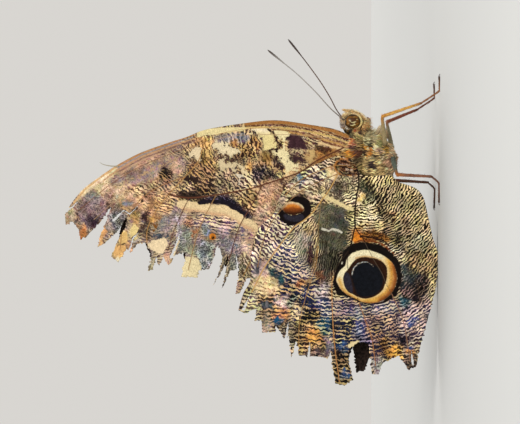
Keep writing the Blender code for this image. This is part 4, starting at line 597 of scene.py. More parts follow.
# Helpers
def colour(code):
    """An sRGB hex code as a linear colour."""
    parts = [int(code[start:start + 2], 16) / 255 for start in (1, 3, 5)]
    return tuple(p / 12.92 if p <= 0.04045 else ((p + 0.055) / 1.055) ** 2.4 for p in parts)


def place(points):
    """Points in millimetres as points of the model in metres."""
    return (np.asarray(points, float) - (MIDDLE, 0.0, 0.0)) * 0.001


def curve_point(before, start, stop, after, t):
    """A point on the smooth curve from start to stop, with t from 0 to 1."""
    return 0.5 * (2 * start + (stop - before) * t
                  + (2 * before - 5 * start + 4 * stop - after) * t ** 2
                  + (3 * start - before - 3 * stop + after) * t ** 3)


def spline(points, step):
    """Points about a step apart on a smooth curve through the given ones."""
    given = [np.array(point, float) for point in points]
    ends = [2 * given[0] - given[1]] + given + [2 * given[-1] - given[-2]]
    found = []
    for before, start, stop, after in zip(ends, ends[1:], ends[2:], ends[3:]):
        count = max(1, round(float(np.linalg.norm(stop - start)) / step))
        found += [curve_point(before, start, stop, after, part / count) for part in range(count)]
    found.append(given[-1])
    return np.array(found)


def line_distance(places, line):
    """How far each place is from a bent line, and how far along it the nearest point lies."""
    line = np.asarray(line, float)
    lengths = np.linalg.norm(np.diff(line, axis=0), axis=1)
    done = 0.0
    nearest = np.full(len(places), 1e9)
    along = np.zeros(len(places))
    for start, stop, length in zip(line, line[1:], lengths):
        run = stop - start
        part = np.clip(((places - start) @ run) / max(run @ run, 1e-12), 0, 1)
        away = np.linalg.norm(places - start - part[:, None] * run, axis=1)
        closer = away < nearest
        nearest[closer] = away[closer]
        along[closer] = done + part[closer] * length
        done += length
    return nearest, along / max(done, 1e-9)


def nearest_line(places, lines):
    """How far each place is from the nearest of some lines."""
    away = np.full(len(places), FAR)
    for line in lines:
        away = np.minimum(away, line_distance(places, line)[0])
    return away


def inside(places, loop):
    """True for each place inside a loop."""
    loop = np.asarray(loop, float)
    found = np.zeros(len(places), bool)
    for (x1, z1), (x2, z2) in zip(loop, np.roll(loop, -1, axis=0)):
        if z1 == z2:
            continue
        crossing = (z1 > places[:, 1]) != (z2 > places[:, 1])
        found ^= crossing & (places[:, 0] < x1 + (places[:, 1] - z1) / (z2 - z1) * (x2 - x1))
    return found


def loop_distance(places, loop):
    """Distance to a loop's line, negative inside it."""
    away = line_distance(places, [*loop, loop[0]])[0]
    return np.where(inside(places, loop), -away, away)


def lumps(places, size, seed):
    """Smooth random values from -1 to 1 with bumps of about the given size."""
    table = np.random.default_rng(seed).uniform(-1, 1, (LUMP_TABLE, LUMP_TABLE))
    spot = np.asarray(places)[:, :2] / size + 10.0 * LUMP_TABLE
    low = np.floor(spot).astype(int)
    part = spot - low
    part = part * part * (3 - 2 * part)
    x0, z0 = low[:, 0] % LUMP_TABLE, low[:, 1] % LUMP_TABLE
    x1, z1 = (x0 + 1) % LUMP_TABLE, (z0 + 1) % LUMP_TABLE
    near = table[x0, z0] * (1 - part[:, 0]) + table[x1, z0] * part[:, 0]
    far = table[x0, z1] * (1 - part[:, 0]) + table[x1, z1] * part[:, 0]
    return near * (1 - part[:, 1]) + far * part[:, 1]


def blend(values, part, code, strength=1):
    """Colours with a share of another one laid over them."""
    return values * (1 - part) + np.array(colour(code)) * part * strength


def add_object(name, data):
    made = bpy.data.objects.new(name, data)
    bpy.context.scene.collection.objects.link(made)
    return made


def make_object(name, points, faces, surfaces, which=None, attributes=None, smooth=True):
    """A mesh piece from points in millimetres, with a number or colour kept at each point."""
    mesh = bpy.data.meshes.new(name)
    mesh.from_pydata(place(points).tolist(), [], faces if isinstance(faces, list) else faces.tolist())
    for surface in surfaces:
        mesh.materials.append(surface)
    if which is not None:
        mesh.polygons.foreach_set("material_index", np.asarray(which, np.int32))
    for key, values in (attributes or {}).items():
        values = np.asarray(values, np.float32)
        if values.ndim == 1:
            mesh.attributes.new(key, "FLOAT", "POINT").data.foreach_set("value", values)
        else:
            full = np.column_stack([values, np.ones(len(values), np.float32)])
            mesh.attributes.new(key, "FLOAT_COLOR", "POINT").data.foreach_set("color", full.ravel())
    if smooth:
        mesh.shade_smooth()
    return add_object(name, mesh)


def stands_for(made, slot, *nodes):
    """A dressed piece takes the place of the nodes that it covers; its slot is not used."""
    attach(made, "root")
    for node in nodes:
        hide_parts(node)
    return made


def start_material(name):
    made = bpy.data.materials.new(name)
    made.use_nodes = True
    return made, made.node_tree, made.node_tree.nodes["Principled BSDF"]


def node(tree, kind, inputs=(), **settings):
    """One more node: its settings, and for each input a value, or the node or socket that feeds it."""
    made = tree.nodes.new(kind)
    for key, value in settings.items():
        setattr(made, key, value)
    for key, value in dict(inputs).items():
        if isinstance(value, bpy.types.Node):
            value = value.outputs[0]
        if isinstance(value, bpy.types.NodeSocket):
            tree.links.new(value, made.inputs[key])
        else:
            made.inputs[key].default_value = value
    return made


# Materials
def wing_material(name):
    """Wing scales in broken ripples of two colours, crossed by inked and pale marks: dull and powdery."""
    made, tree, surface = start_material(name)
    number = {word: node(tree, "ShaderNodeAttribute", attribute_name=word).outputs["Fac"]
              for word in ("beat", "lean", "order", "share", "fray", "pale", "ink", "ridge")}
    tint = {word: node(tree, "ShaderNodeAttribute", attribute_name=word).outputs["Color"]
            for word in ("light", "dark", "bright", "inked", "veined")}
    where = node(tree, "ShaderNodeTexCoord").outputs["Object"]
    axes = node(tree, "ShaderNodeSeparateXYZ", {0: where})
    plan = node(tree, "ShaderNodeCombineXYZ", {0: axes.outputs[0], 1: axes.outputs[2]})
    bend, hue, gloom, cloud, blotch, fine = (
        node(tree, "ShaderNodeTexNoise",
             {"Vector": plan, "Scale": scale, "Detail": 3.0, "Roughness": rough},
             noise_dimensions="2D")
        for scale, rough in ((900, 0.5), (420, 0.5), (650, 0.5), (280, 0.5), (1000, 0.65), (3000, 0.55)))

    # Ripples 0.5 to 1.1 mm apart, bent by about a quarter of their spacing. Where there is little order
    # the scales are a fine, soft mottle instead.
    room = node(tree, "ShaderNodeMath", {0: 1.0, 1: number["beat"]}, operation="DIVIDE")
    swing = node(tree, "ShaderNodeVectorMath", {0: bend.outputs[1], 1: (0.0062, 0.0062, 0.0),
                                                2: (-0.0031, -0.0031, 0.0)}, operation="MULTIPLY_ADD")
    swing = node(tree, "ShaderNodeVectorMath", {0: swing, "Scale": room}, operation="SCALE")
    bent = node(tree, "ShaderNodeVectorMath", {0: plan, 1: swing}, operation="ADD")
    ripple = node(tree, "ShaderNodeTexGabor",
                  {"Vector": bent, "Scale": 1000 / RIPPLE_CELL, "Anisotropy": 0.97,
                   "Frequency": number["beat"], "Orientation 2D": number["lean"]})
    wave = node(tree, "ShaderNodeMath", {0: ripple, 1: 8.5, 2: -4.25}, operation="MULTIPLY_ADD")
    loose = node(tree, "ShaderNodeMath", {0: blotch, 1: 3.0, 2: -4.0}, operation="MULTIPLY_ADD")
    loose = node(tree, "ShaderNodeMath", {0: fine, 1: 5.0, 2: loose}, operation="MULTIPLY_ADD")
    level = node(tree, "ShaderNodeMix", {0: number["order"], 2: loose, 3: wave})
    level = node(tree, "ShaderNodeMath", {0: fine, 1: 1.0, 2: level}, operation="MULTIPLY_ADD")
    level = node(tree, "ShaderNodeMath", {0: number["share"], 1: 2.1, 2: level}, operation="MULTIPLY_ADD")
    low = node(tree, "ShaderNodeMath", {0: number["order"], 1: 0.65, 2: 0.6}, operation="MULTIPLY_ADD")
    high = node(tree, "ShaderNodeMath", {0: number["order"], 1: -0.65, 2: 2.2}, operation="MULTIPLY_ADD")
    dark_part = node(tree, "ShaderNodeMapRange", {"Value": level, "From Min": low, "From Max": high},
                     interpolation_type="SMOOTHSTEP")

    # Each patch of scales drifts in hue, the dark ones more than the pale ones
    warmth = node(tree, "ShaderNodeVectorMath",
                  {0: hue.outputs[1], 1: (0.3, 0.5, 0.8), 2: (0.85, 0.75, 0.6)},
                  operation="MULTIPLY_ADD")
    light = node(tree, "ShaderNodeVectorMath", {0: tint["light"], 1: warmth}, operation="MULTIPLY")
    dusty = node(tree, "ShaderNodeMath", {0: fine, 1: 1.2, 2: 1.05}, operation="MULTIPLY_ADD")
    dusty = node(tree, "ShaderNodeMath", {0: blotch, 1: -1.2, 2: dusty}, operation="MULTIPLY_ADD")
    light = node(tree, "ShaderNodeVectorMath", {0: light, "Scale": dusty}, operation="SCALE")
    cast = node(tree, "ShaderNodeVectorMath",
                {0: gloom.outputs[1], 1: (1.5, 1.2, 1.7), 2: (0.25, 0.4, 0.15)},
                operation="MULTIPLY_ADD")
    dark = node(tree, "ShaderNodeVectorMath", {0: tint["dark"], 1: cast}, operation="MULTIPLY")
    depth = node(tree, "ShaderNodeMath", {0: blotch, 1: 3.0, 2: -0.84}, operation="MULTIPLY_ADD")
    depth = node(tree, "ShaderNodeMath", {0: depth, 1: 0.1}, operation="MAXIMUM")
    dark = node(tree, "ShaderNodeVectorMath", {0: dark, "Scale": depth}, operation="SCALE")
    last = node(tree, "ShaderNodeMix", {0: dark_part, 6: light, 7: dark}, data_type="RGBA").outputs[2]
    cloudy = node(tree, "ShaderNodeMath", {0: cloud, 1: 1.9, 2: 0.0}, operation="MULTIPLY_ADD")
    last = node(tree, "ShaderNodeVectorMath", {0: last, "Scale": cloudy}, operation="SCALE")

    # Pale and inked marks with frayed borders, then the veins
    shift = node(tree, "ShaderNodeMath", {0: blotch, 1: 1.5, 2: -1.1}, operation="MULTIPLY_ADD")
    shift = node(tree, "ShaderNodeMath", {0: fine, 1: 0.7, 2: shift}, operation="MULTIPLY_ADD")
    for mark, word, blotched, dusted, least in (("pale", "bright", 0.5, 0.8, 0.24),
                                                ("ink", "inked", 1.4, 1.0, -0.3)):
        edge = node(tree, "ShaderNodeMath", {0: shift, 1: number["fray"], 2: number[mark]},
                    operation="MULTIPLY_ADD")
        cover = node(tree, "ShaderNodeMapRange", {"Value": edge, "From Min": 0.1, "From Max": -0.1})
        speckle = node(tree, "ShaderNodeMath", {0: fine, 1: dusted, 2: least}, operation="MULTIPLY_ADD")
        speckle = node(tree, "ShaderNodeMath", {0: blotch, 1: blotched, 2: speckle},
                       operation="MULTIPLY_ADD")
        speckle = node(tree, "ShaderNodeMath", {0: speckle, 1: 0.15}, operation="MAXIMUM")
        toned = node(tree, "ShaderNodeVectorMath", {0: tint[word], "Scale": speckle}, operation="SCALE")
        last = node(tree, "ShaderNodeMix", {0: cover, 6: last, 7: toned}, data_type="RGBA").outputs[2]
    cover = node(tree, "ShaderNodeMapRange",
                 {"Value": number["ridge"], "From Min": 0.08, "From Max": -0.08})
    last = node(tree, "ShaderNodeMix", {0: cover, 6: last, 7: tint["veined"]}, data_type="RGBA").outputs[2]

    # Wing scales are 0.05 mm wide, too fine to show, so the grain is drawn three times as coarse
    dust = node(tree, "ShaderNodeTexVoronoi", {"Vector": where, "Scale": 6500.0})
    grain = node(tree, "ShaderNodeMapRange",
                 {"Value": dust, "From Min": 0.0, "From Max": 0.9, "To Min": 1.14, "To Max": 0.8})
    last = node(tree, "ShaderNodeVectorMath", {0: last, "Scale": grain}, operation="SCALE")
    relief = node(tree, "ShaderNodeBump", {"Height": fine, "Strength": 0.4, "Distance": 0.00008})
    tree.links.new(last.outputs[0], surface.inputs["Base Color"])
    tree.links.new(relief.outputs[0], surface.inputs["Normal"])
    surface.inputs["Roughness"].default_value = 0.68
    surface.inputs["Specular IOR Level"].default_value = 0.06
    return made


def upper_material():
    """The wings' upper face: dark brown velvet scales, tan along the front edge."""
    made, tree, surface = start_material("wing_upper_scales")
    where = node(tree, "ShaderNodeTexCoord").outputs["Object"]
    top = node(tree, "ShaderNodeAttribute", attribute_name="top").outputs["Color"]
    fine = node(tree, "ShaderNodeTexNoise", {"Vector": where, "Scale": 1800.0, "Detail": 3.0})
    grain = node(tree, "ShaderNodeMapRange",
                 {"Value": fine, "From Min": 0.3, "From Max": 0.7, "To Min": 0.2, "To Max": 2.2})
    toned = node(tree, "ShaderNodeVectorMath", {0: top, "Scale": grain}, operation="SCALE")
    tree.links.new(toned.outputs[0], surface.inputs["Base Color"])
    surface.inputs["Roughness"].default_value = 0.7
    surface.inputs["Specular IOR Level"].default_value = 0.06
    return made


def coat_material(name, roughness, gloss):
    """Hair-like scales whose colour is kept at each hair, dull with soft light along the edges."""
    made, tree, surface = start_material(name)
    coat = node(tree, "ShaderNodeAttribute", attribute_name="coat").outputs["Color"]
    tree.links.new(coat, surface.inputs["Base Color"])
    surface.inputs["Roughness"].default_value = roughness
    surface.inputs["Specular IOR Level"].default_value = gloss
    return made


def eye_material():
    """A wet, hard compound eye: amber facets in dark upright streaks, with painted pale glints and gloss.
    """
    made, tree, surface = start_material("compound_eye")
    where = node(tree, "ShaderNodeTexCoord").outputs["Object"]
    reach = node(tree, "ShaderNodeAttribute", attribute_name="reach").outputs["Fac"]
    rings = node(tree, "ShaderNodeValToRGB", {0: reach})
    bands = rings.color_ramp.elements
    bands[0].position, bands[0].color = 0.0, (*colour("#3a210e"), 1)
    bands[1].position, bands[1].color = 0.97, (*colour("#140b06"), 1)
    for spot, code in ((0.4, "#4c2c10"), (0.66, "#825618"), (0.86, "#5e3e12")):
        bands.new(spot).color = (*colour(code), 1)
    upright = node(tree, "ShaderNodeVectorMath", {0: where, 1: (1.0, 1.0, 0.4)}, operation="MULTIPLY")
    streaks = node(tree, "ShaderNodeTexNoise", {"Vector": upright, "Scale": 1500.0, "Detail": 3.0})
    patchy = node(tree, "ShaderNodeMapRange",
                  {"Value": streaks, "From Min": 0.36, "From Max": 0.6, "To Min": 0.25, "To Max": 1.3})
    toned = node(tree, "ShaderNodeVectorMath", {0: rings, "Scale": patchy}, operation="SCALE")
    # Painted highlight: pale upright glints mixed into the eye's colour, gathered left of its middle
    glints = node(tree, "ShaderNodeTexNoise", {"Vector": upright, "Scale": 3400.0, "Detail": 2.0})
    flat = node(tree, "ShaderNodeVectorMath", {0: where, 1: (1.0, 0.0, 1.0)}, operation="MULTIPLY")
    away = node(tree, "ShaderNodeVectorMath", {0: flat, 1: tuple(place(EYE_PAINTED_GLINTS))},
                operation="DISTANCE").outputs["Value"]
    near = node(tree, "ShaderNodeMath", {0: away, 1: -160.0, 2: glints}, operation="MULTIPLY_ADD")
    pale = node(tree, "ShaderNodeMapRange",
                {"Value": near, "From Min": 0.44, "From Max": 0.5, "To Max": 0.9})
    last = node(tree, "ShaderNodeMix", {0: pale, 6: toned.outputs[0], 7: (*colour("#d8cf96"), 1)},
                data_type="RGBA")
    facets = node(tree, "ShaderNodeTexVoronoi", {"Vector": where, "Scale": 9000.0})
    relief = node(tree, "ShaderNodeBump", {"Height": facets, "Strength": 0.2, "Distance": 0.00003},
                  invert=True)
    tree.links.new(last.outputs[2], surface.inputs["Base Color"])
    tree.links.new(relief.outputs[0], surface.inputs["Normal"])
    surface.inputs["Roughness"].default_value = 0.3
    surface.inputs["Specular IOR Level"].default_value = 0.2
    surface.inputs["Coat Weight"].default_value = 0.05
    surface.inputs["Coat Roughness"].default_value = 0.06
    return made


def horn_material(name, roughness, scale):
    """Horn under thin scales: its colour kept at each point, finely pitted, with a waxy shine."""
    made, tree, surface = start_material(name)
    where = node(tree, "ShaderNodeTexCoord").outputs["Object"]
    coat = node(tree, "ShaderNodeAttribute", attribute_name="coat").outputs["Color"]
    pits = node(tree, "ShaderNodeTexNoise", {"Vector": where, "Scale": scale, "Detail": 3.0})
    grain = node(tree, "ShaderNodeMapRange", {"Value": pits, "To Min": 0.55, "To Max": 1.45})
    toned = node(tree, "ShaderNodeVectorMath", {0: coat, "Scale": grain}, operation="SCALE")
    relief = node(tree, "ShaderNodeBump", {"Height": pits, "Strength": 0.4, "Distance": 0.00005})
    tree.links.new(toned.outputs[0], surface.inputs["Base Color"])
    tree.links.new(relief.outputs[0], surface.inputs["Normal"])
    surface.inputs["Roughness"].default_value = roughness
    surface.inputs["Specular IOR Level"].default_value = 0.4
    return made


def plain_material(name, code, roughness):
    """One even colour, dull."""
    made, _, surface = start_material(name)
    surface.inputs["Base Color"].default_value = (*colour(code), 1)
    surface.inputs["Roughness"].default_value = roughness
    return made


# Wing shapes
def wing_edge(torn, seed):
    """The torn edge with small ragged teeth."""
    rng = np.random.default_rng(seed)
    found = []
    for start, stop in zip(np.array(torn, float), np.array(torn[1:], float)):
        run = stop - start
        length = np.linalg.norm(run)
        count = max(2, round(length / EDGE_STEP))
        across = np.array((-run[1], run[0])) / length
        for step in range(count):
            part = step / count
            jag = rng.normal() * EDGE_JAG * math.sin(math.pi * part) * min(1, length / 2)
            found.append(np.maximum(start + run * part + across * jag, (-np.inf, FLOOR_LEVEL)))
    found.append(np.array(torn[-1], float))
    return found


def root_spread(places):
    """How much farther out a wing lies near its root."""
    away = (places[:, 0] - ROOT_PLACE[0]) ** 2 + (places[:, 1] - ROOT_PLACE[1]) ** 2
    return ROOT_SPREAD * np.exp(-away / ROOT_REACH ** 2)


def forewing_depth(places):
    return FOREWING_OFFSET + root_spread(places)


def hindwing_depth(places):
    """Outside the forewing, and bulging round the abdomen."""
    away, part = line_distance(places, (ABDOMEN_FRONT, ABDOMEN_TIP))
    near = np.exp(-(away / 3.0) ** 2)
    return HINDWING_OFFSET + root_spread(places) * (1 - near) + 2.1 * (1 - 0.45 * part ** 2) * near


def thorax_half_width(places):
    """Half the thorax's width at each place of the plan, 0 outside it."""
    table = np.array(sorted(THORAX_SECTIONS))
    low, high, wide = (np.interp(places[:, 0], table[:, 0], table[:, i], 0, 0) for i in (1, 2, 3))
    part = (places[:, 1] - (low + high) / 2) / np.maximum((high - low) / 2, 1e-6)
    return wide * np.sqrt(np.clip(1 - part ** 2, 0, 1))


def ripple_field(places, samples):
    """The turn of the ripples at each place, across them, and how many fit in a cell of the texture."""
    turns, beats, total = np.zeros(len(places)), np.zeros(len(places)), np.zeros(len(places))
    for spot, angle, spacing in samples:
        weight = 1 / (((places - spot) ** 2).sum(axis=1) + 0.6) ** 2
        turns += weight * math.radians(angle + 90)
        beats += weight * RIPPLE_CELL / spacing
        total += weight
    return turns / total, beats / total


def closed_spline(loop):
    """A loop with its corners rounded off."""
    given = np.array(loop, float)
    found = []
    for index in range(len(given)):
        four = [given[(index + shift) % len(given)] for shift in (-1, 0, 1, 2)]
        found += [curve_point(*four, t) for t in (0.0, 0.25, 0.5, 0.75)]
    return np.array(found)


def zone_distance(places, shape):
    """Distance to a zone's border, negative inside it, and how soft that border is."""
    if isinstance(shape[0], tuple):
        return loop_distance(places, shape), 1.1
    middle, size = np.array(shape[:2], float), np.array(shape[2:], float)
    away = np.linalg.norm((places - middle) / size, axis=1) - 1
    return away * size.min(), float(np.clip(size.min() * 0.7, 0.4, 1.6))


def paint(places, zones, marks, veins, base, seed):
    """The colours and sharp marks at every place of a wing."""
    count = len(places)
    fray = np.full(count, base[4])
    for kind, shape, *rest in marks:
        if kind == "calm":
            part = np.clip(0.5 - loop_distance(places, shape) / 1.5, 0, 1)
            fray = fray * (1 - part) + rest[0] * part
    small = np.column_stack([lumps(places, 1.1, seed + 5), lumps(places, 1.1, seed + 6)])
    tiny = np.column_stack([lumps(places, 0.5, seed + 9), lumps(places, 0.5, seed + 10)])
    bent = places + (0.34 * small + 0.16 * tiny) * fray[:, None]
    light, dark = np.tile(colour(base[0]), (count, 1)), np.tile(colour(base[1]), (count, 1))
    share, order = np.full(count, base[2]), np.full(count, base[3])
    shapes = {"pale": np.full(count, NO_MARK), "ink": np.full(count, NO_MARK)}
    tints = {"pale": np.tile(colour("#f0e0b0"), (count, 1)), "ink": np.tile(colour("#1c1412"), (count, 1))}
    wide = places + 0.8 * np.column_stack([lumps(places, 1.7, seed + 7), lumps(places, 1.7, seed + 8)])
    wide += 0.4 * tiny
    for shape, pale_code, dark_code, amount, regular in zones:
        away, soft = zone_distance(wide, shape)
        part = np.clip(0.5 - away / soft, 0, 1)
        light += (np.array(colour(pale_code)) - light) * part[:, None]
        dark += (np.array(colour(dark_code)) - dark) * part[:, None]
        share += (amount - share) * part
        order += (regular - order) * part
    for kind, shape, *rest in marks:
        if kind == "calm":
            continue
        word, *line = kind.split()
        if word == "tint":
            part = np.clip(0.5 - line_distance(places, shape)[0] / rest[1] + 0.5, 0, 1)[:, None]
            tints["pale"] += (np.array(colour(rest[0])) - tints["pale"]) * part
            continue
        if line:
            away = line_distance(places if len(rest) > 2 else bent, shape)[0] - rest[1] / 2
        else:
            away = loop_distance(bent, closed_spline(shape))
        other = "ink" if word == "pale" else "pale"
        part = np.where(shapes[word] < 0.35, np.clip(0.5 - away / 0.2, 0, 1), away < 0.6)[:, None]
        tints[word] += (np.array(colour(rest[0])) - tints[word]) * part
        shapes[word] = np.minimum(shapes[word], away)
        shapes[other] = np.maximum(shapes[other], -away)
    ridge, veined = np.full(count, NO_MARK), np.zeros((count, 3))
    for route, width, code in veins:
        away = line_distance(places, spline(route, 0.7))[0] - width / 2
        closer = away < ridge
        ridge[closer] = away[closer]
        veined[closer] = colour(code)
    return {"light": light, "dark": dark, "share": share, "order": order, "fray": fray, "ridge": ridge,
            "veined": veined, "pale": shapes["pale"], "ink": shapes["ink"], "bright": tints["pale"],
            "inked": tints["ink"]}


def wing(name, outline, leading, cracks, veins, zones, marks, base, side, depth, ripples, surfaces, seed):
    """A thin closed sheet with a ragged edge and raised veins; leading counts its front edge's points."""
    outline = np.array(outline)
    vein_lines = [spline(route, 0.35) for route, _, _ in veins]
    low, high = outline.min(axis=0), outline.max(axis=0)
    columns = np.arange(low[0], high[0], GRID)
    rows = np.arange(low[1], high[1], GRID * ROW_SHARE)
    grid = np.array([(x + (GRID / 2 if index % 2 else 0), z)
                     for index, z in enumerate(rows) for x in columns])
    grid += np.random.default_rng(seed).uniform(-GRID_SHAKE, GRID_SHAKE, grid.shape)
    grid = grid[inside(grid, outline)]
    grid = grid[line_distance(grid, [*outline, outline[0]])[0] > GRID * 0.5]
    grid = grid[nearest_line(grid, vein_lines) > VEIN_ROOM]
    ridge = np.vstack(vein_lines)
    ridge = ridge[inside(ridge, outline)]
    ridge = ridge[line_distance(ridge, [*outline, outline[0]])[0] > GRID * 0.4]
    points = np.vstack([outline, ridge, grid])
    loop = list(range(len(outline)))
    edges = [(index, (index + 1) % len(outline)) for index in loop]
    plan, _, triangles, *_ = delaunay_2d_cdt([Vector(p) for p in points], edges, [loop], 1, 1e-4)
    plan = np.array([tuple(p) for p in plan])
    triangles = np.array([tri[:3] for tri in triangles if len(tri) == 3])
    middles = plan[triangles].mean(axis=1)
    whole = np.ones(len(triangles), bool)
    for route, gape in cracks:
        away, along = line_distance(middles, route)
        whole &= away > gape * (1 - along) * (1 + 0.5 * lumps(middles, 0.8, seed))
    triangles = triangles[whole]

    away = nearest_line(plan, vein_lines)
    edge_away = line_distance(plan, [*outline, outline[0]])[0]
    rise = VEIN_RISE * np.clip(1 - (away / VEIN_HALF_WIDTH) ** 2, 0, 1)
    sag = 0.14 * np.clip(away / 3.0, 0, 1) ** 2
    curl = 0.4 * lumps(plan, 6.0, seed + 3) * np.exp(-edge_away / 3.0) * np.clip(
        (np.linalg.norm(plan - (14, 22), axis=1) - 22) / 10, 0, 1)
    body = thorax_half_width(plan)
    middle = np.maximum(depth(plan), np.where(body > 0, body + 0.55, 0)) - sag + curl
    outer = np.column_stack([plan[:, 0], side * (middle + SHEET + rise), plan[:, 1]])
    inner = np.column_stack([plan[:, 0], side * (middle - SHEET - rise * 0.6), plan[:, 1]])
    count = len(plan)
    a, b, c = plan[triangles[:, 0]], plan[triangles[:, 1]], plan[triangles[:, 2]]
    turn = (b[:, 0] - a[:, 0]) * (c[:, 1] - a[:, 1]) - (b[:, 1] - a[:, 1]) * (c[:, 0] - a[:, 0])
    triangles[turn < 0] = triangles[turn < 0][:, ::-1]
    if side == LEFT:
        triangles = triangles[:, ::-1]
    pairs = np.vstack([triangles[:, [0, 1]], triangles[:, [1, 2]], triangles[:, [2, 0]]])
    keys = {(int(s), int(e)) for s, e in pairs}
    border = np.array([(s, e) for s, e in keys if (e, s) not in keys])
    rim = np.vstack([np.column_stack([border[:, 1], border[:, 0], count + border[:, 0]]),
                     np.column_stack([border[:, 1], count + border[:, 0], count + border[:, 1]])])
    faces = np.vstack([triangles, triangles[:, ::-1] + count, rim])
    which = np.concatenate([np.zeros(len(triangles)), np.ones(len(triangles)), np.zeros(len(rim))])
    stored_values = paint(plan, zones, marks, veins, base, seed)
    stored_values["lean"], stored_values["beat"] = ripple_field(plan, ripples)
    rootward = np.clip(1 - np.linalg.norm(plan - (12, 22), axis=1) / 34, 0, 1)[:, None]
    front = np.clip(2.2 - line_distance(plan, outline[:leading:3])[0], 0, 1)[:, None]
    top = blend(np.array(colour("#241b17")), rootward, "#24223a")
    stored_values["top"] = blend(top, front, "#9c6c3c")
    both = {key: np.concatenate([values, values]) for key, values in stored_values.items()}
    return make_object(name, np.vstack([outer, inner]), faces, surfaces, which, both)


def make_wings():
    upper = upper_material()
    fibre = plain_material("dry_membrane_fibre", "#a09a88", 0.6)
    fore, hind = wing_material("forewing_underside_scales"), wing_material("hindwing_underside_scales")
    for side, word in SIDES:
        near = side == RIGHT
        leading = spline(FORE_LEADING if near else LEFT_FORE_LEADING, EDGE_STEP)
        torn = wing_edge(FORE_TORN if near else LEFT_FORE_TORN, 3 + side)
        outline = [*leading, *torn, *spline(FORE_INNER, EDGE_STEP)]
        made = wing(f"forewing_{word}_scaled", outline, len(leading), FORE_CRACKS, FORE_VEINS, FORE_ZONES,
                    FORE_MARKS, FORE_BASE, side, forewing_depth, FORE_RIPPLES, (fore, upper), 11 + side)
        stands_for(made, "forewing_scales", f"forewing_{word}")
        if near:
            route = spline([(x, -0.8, z) for x, z in LOOSE_FIBRE], 0.2)
            points, faces, _ = tube(route, (0.16, 0.14, 0.1, 0.05), 8)
            stands_for(make_object("forewing_right_loose_fibre", points, faces, [fibre]), "forewing_scales")
        torn = wing_edge(HIND_TORN if near else LEFT_HIND_TORN, 7 + side)
        leading = spline(HIND_LEADING, EDGE_STEP)
        outline = [*leading, *torn, *spline(HIND_INNER, EDGE_STEP)]
        made = wing(f"hindwing_{word}_scaled", outline, len(leading), HIND_CRACKS, HIND_VEINS, HIND_ZONES,
                    HIND_MARKS, HIND_BASE, side, hindwing_depth, HIND_RIPPLES, (hind, upper), 21 + side)
        stands_for(made, "hindwing_scales", f"hindwing_{word}")


# Body skin and coat
def sections(stations, sides, less=0.0):
    """A closed tube through upright rings, drawn in by less all round."""
    points = []
    for index, (x, low, high, half_width) in enumerate(stations):
        shift = {0: -1, len(stations) - 1: 1}.get(index, 0) * less
        middle, half_height = (low + high) / 2, (high - low) / 2
        for turn in np.linspace(0, 2 * math.pi, sides, endpoint=False):
            points.append((x + shift, (half_width - less) * math.cos(turn),
                           middle + (half_height - less) * math.sin(turn)))
    return points, tube_faces(len(stations), sides)


def tube_faces(rings, sides):
    """The faces that join rings of points into a closed tube."""
    faces = []
    for row in range(rings - 1):
        for side in range(sides):
            along = (side + 1) % sides
            faces.append((row * sides + side, row * sides + along,
                          (row + 1) * sides + along, (row + 1) * sides + side))
    faces.append(tuple(range(sides))[::-1])
    faces.append(tuple((rings - 1) * sides + side for side in range(sides)))
    return faces


def tube(route, radii, sides, squash=1.0):
    """Points and faces of a round tube, and how far along it each point lies."""
    route = np.asarray(route, float)
    parts = np.linspace(0, 1, len(route))
    widths = np.interp(parts, np.linspace(0, 1, len(radii)), radii)
    ahead = np.gradient(route, axis=0)
    ahead /= np.linalg.norm(ahead, axis=1)[:, None]
    across = np.array((0, 1, 0)) - ahead * ahead[:, 1:2]
    across /= np.linalg.norm(across, axis=1)[:, None]
    up = np.cross(ahead, across)
    turns = np.linspace(0, 2 * math.pi, sides, endpoint=False) + 0.2
    points = (route[:, None, :] + widths[:, None, None] * (
        across[:, None, :] * (np.cos(turns) * squash)[None, :, None]
        + up[:, None, :] * np.sin(turns)[None, :, None])).reshape(-1, 3)
    return points, tube_faces(len(route), sides), np.repeat(parts, sides)


def body_skin(surface):
    """Head, thorax and abdomen under one smooth skin, a coat's depth inside the solids."""
    shapes = [sections(THORAX_SECTIONS, 32, COAT), sections(HEAD_SECTIONS, 32, COAT)]
    neck = ((19.0, 17.2, 21.2, 1.7), (20.0, 17.8, 21.6, 1.6), (21.2, 18.2, 22.0, 1.7))
    waist = ((11.4, 10.9, 17.0, 2.6), (9.4, 11.2, 15.8, 2.0), (7.8, 10.9, 14.8, 1.9))
    shapes += [sections(neck, 24), sections(waist, 24)]
    steps = np.linspace(0, 1, 29)
    front, tip = (np.array((x, 0, z)) for x, z in (ABDOMEN_FRONT, ABDOMEN_TIP))
    route = front + steps[:, None] * (tip - front) * 0.985
    taper = ABDOMEN_RADIUS * np.minimum(1, 0.72 + 1.6 * steps) * np.sqrt(1 - steps ** 4)
    rings = 1 - 0.07 * (0.5 + 0.5 * np.cos(2 * math.pi * 7 * steps))
    points, faces, _ = tube(route, np.maximum(0.25, taper * rings - COAT), 24)
    shapes.append((points, faces))
    points, faces, done = [], [], 0
    for some_points, some_faces in shapes:
        points += list(map(tuple, some_points))
        faces += [tuple(done + corner for corner in face) for face in some_faces]
        done = len(points)
    rough = make_object("body_draft", points, faces, [])
    remesh = rough.modifiers.new("One skin", "REMESH")
    remesh.mode = "VOXEL"
    remesh.voxel_size = SKIN_VOXEL / 1000
    smooth = rough.modifiers.new("Soft", "SMOOTH")
    smooth.factor = 0.6
    smooth.iterations = 8
    mesh = bpy.data.meshes.new_from_object(rough.evaluated_get(bpy.context.evaluated_depsgraph_get()))
    bpy.data.objects.remove(rough)
    mesh.name = "body_skin"
    mesh.materials.clear()
    mesh.materials.append(surface)
    mesh.shade_smooth()
    return add_object("body_skin", mesh)


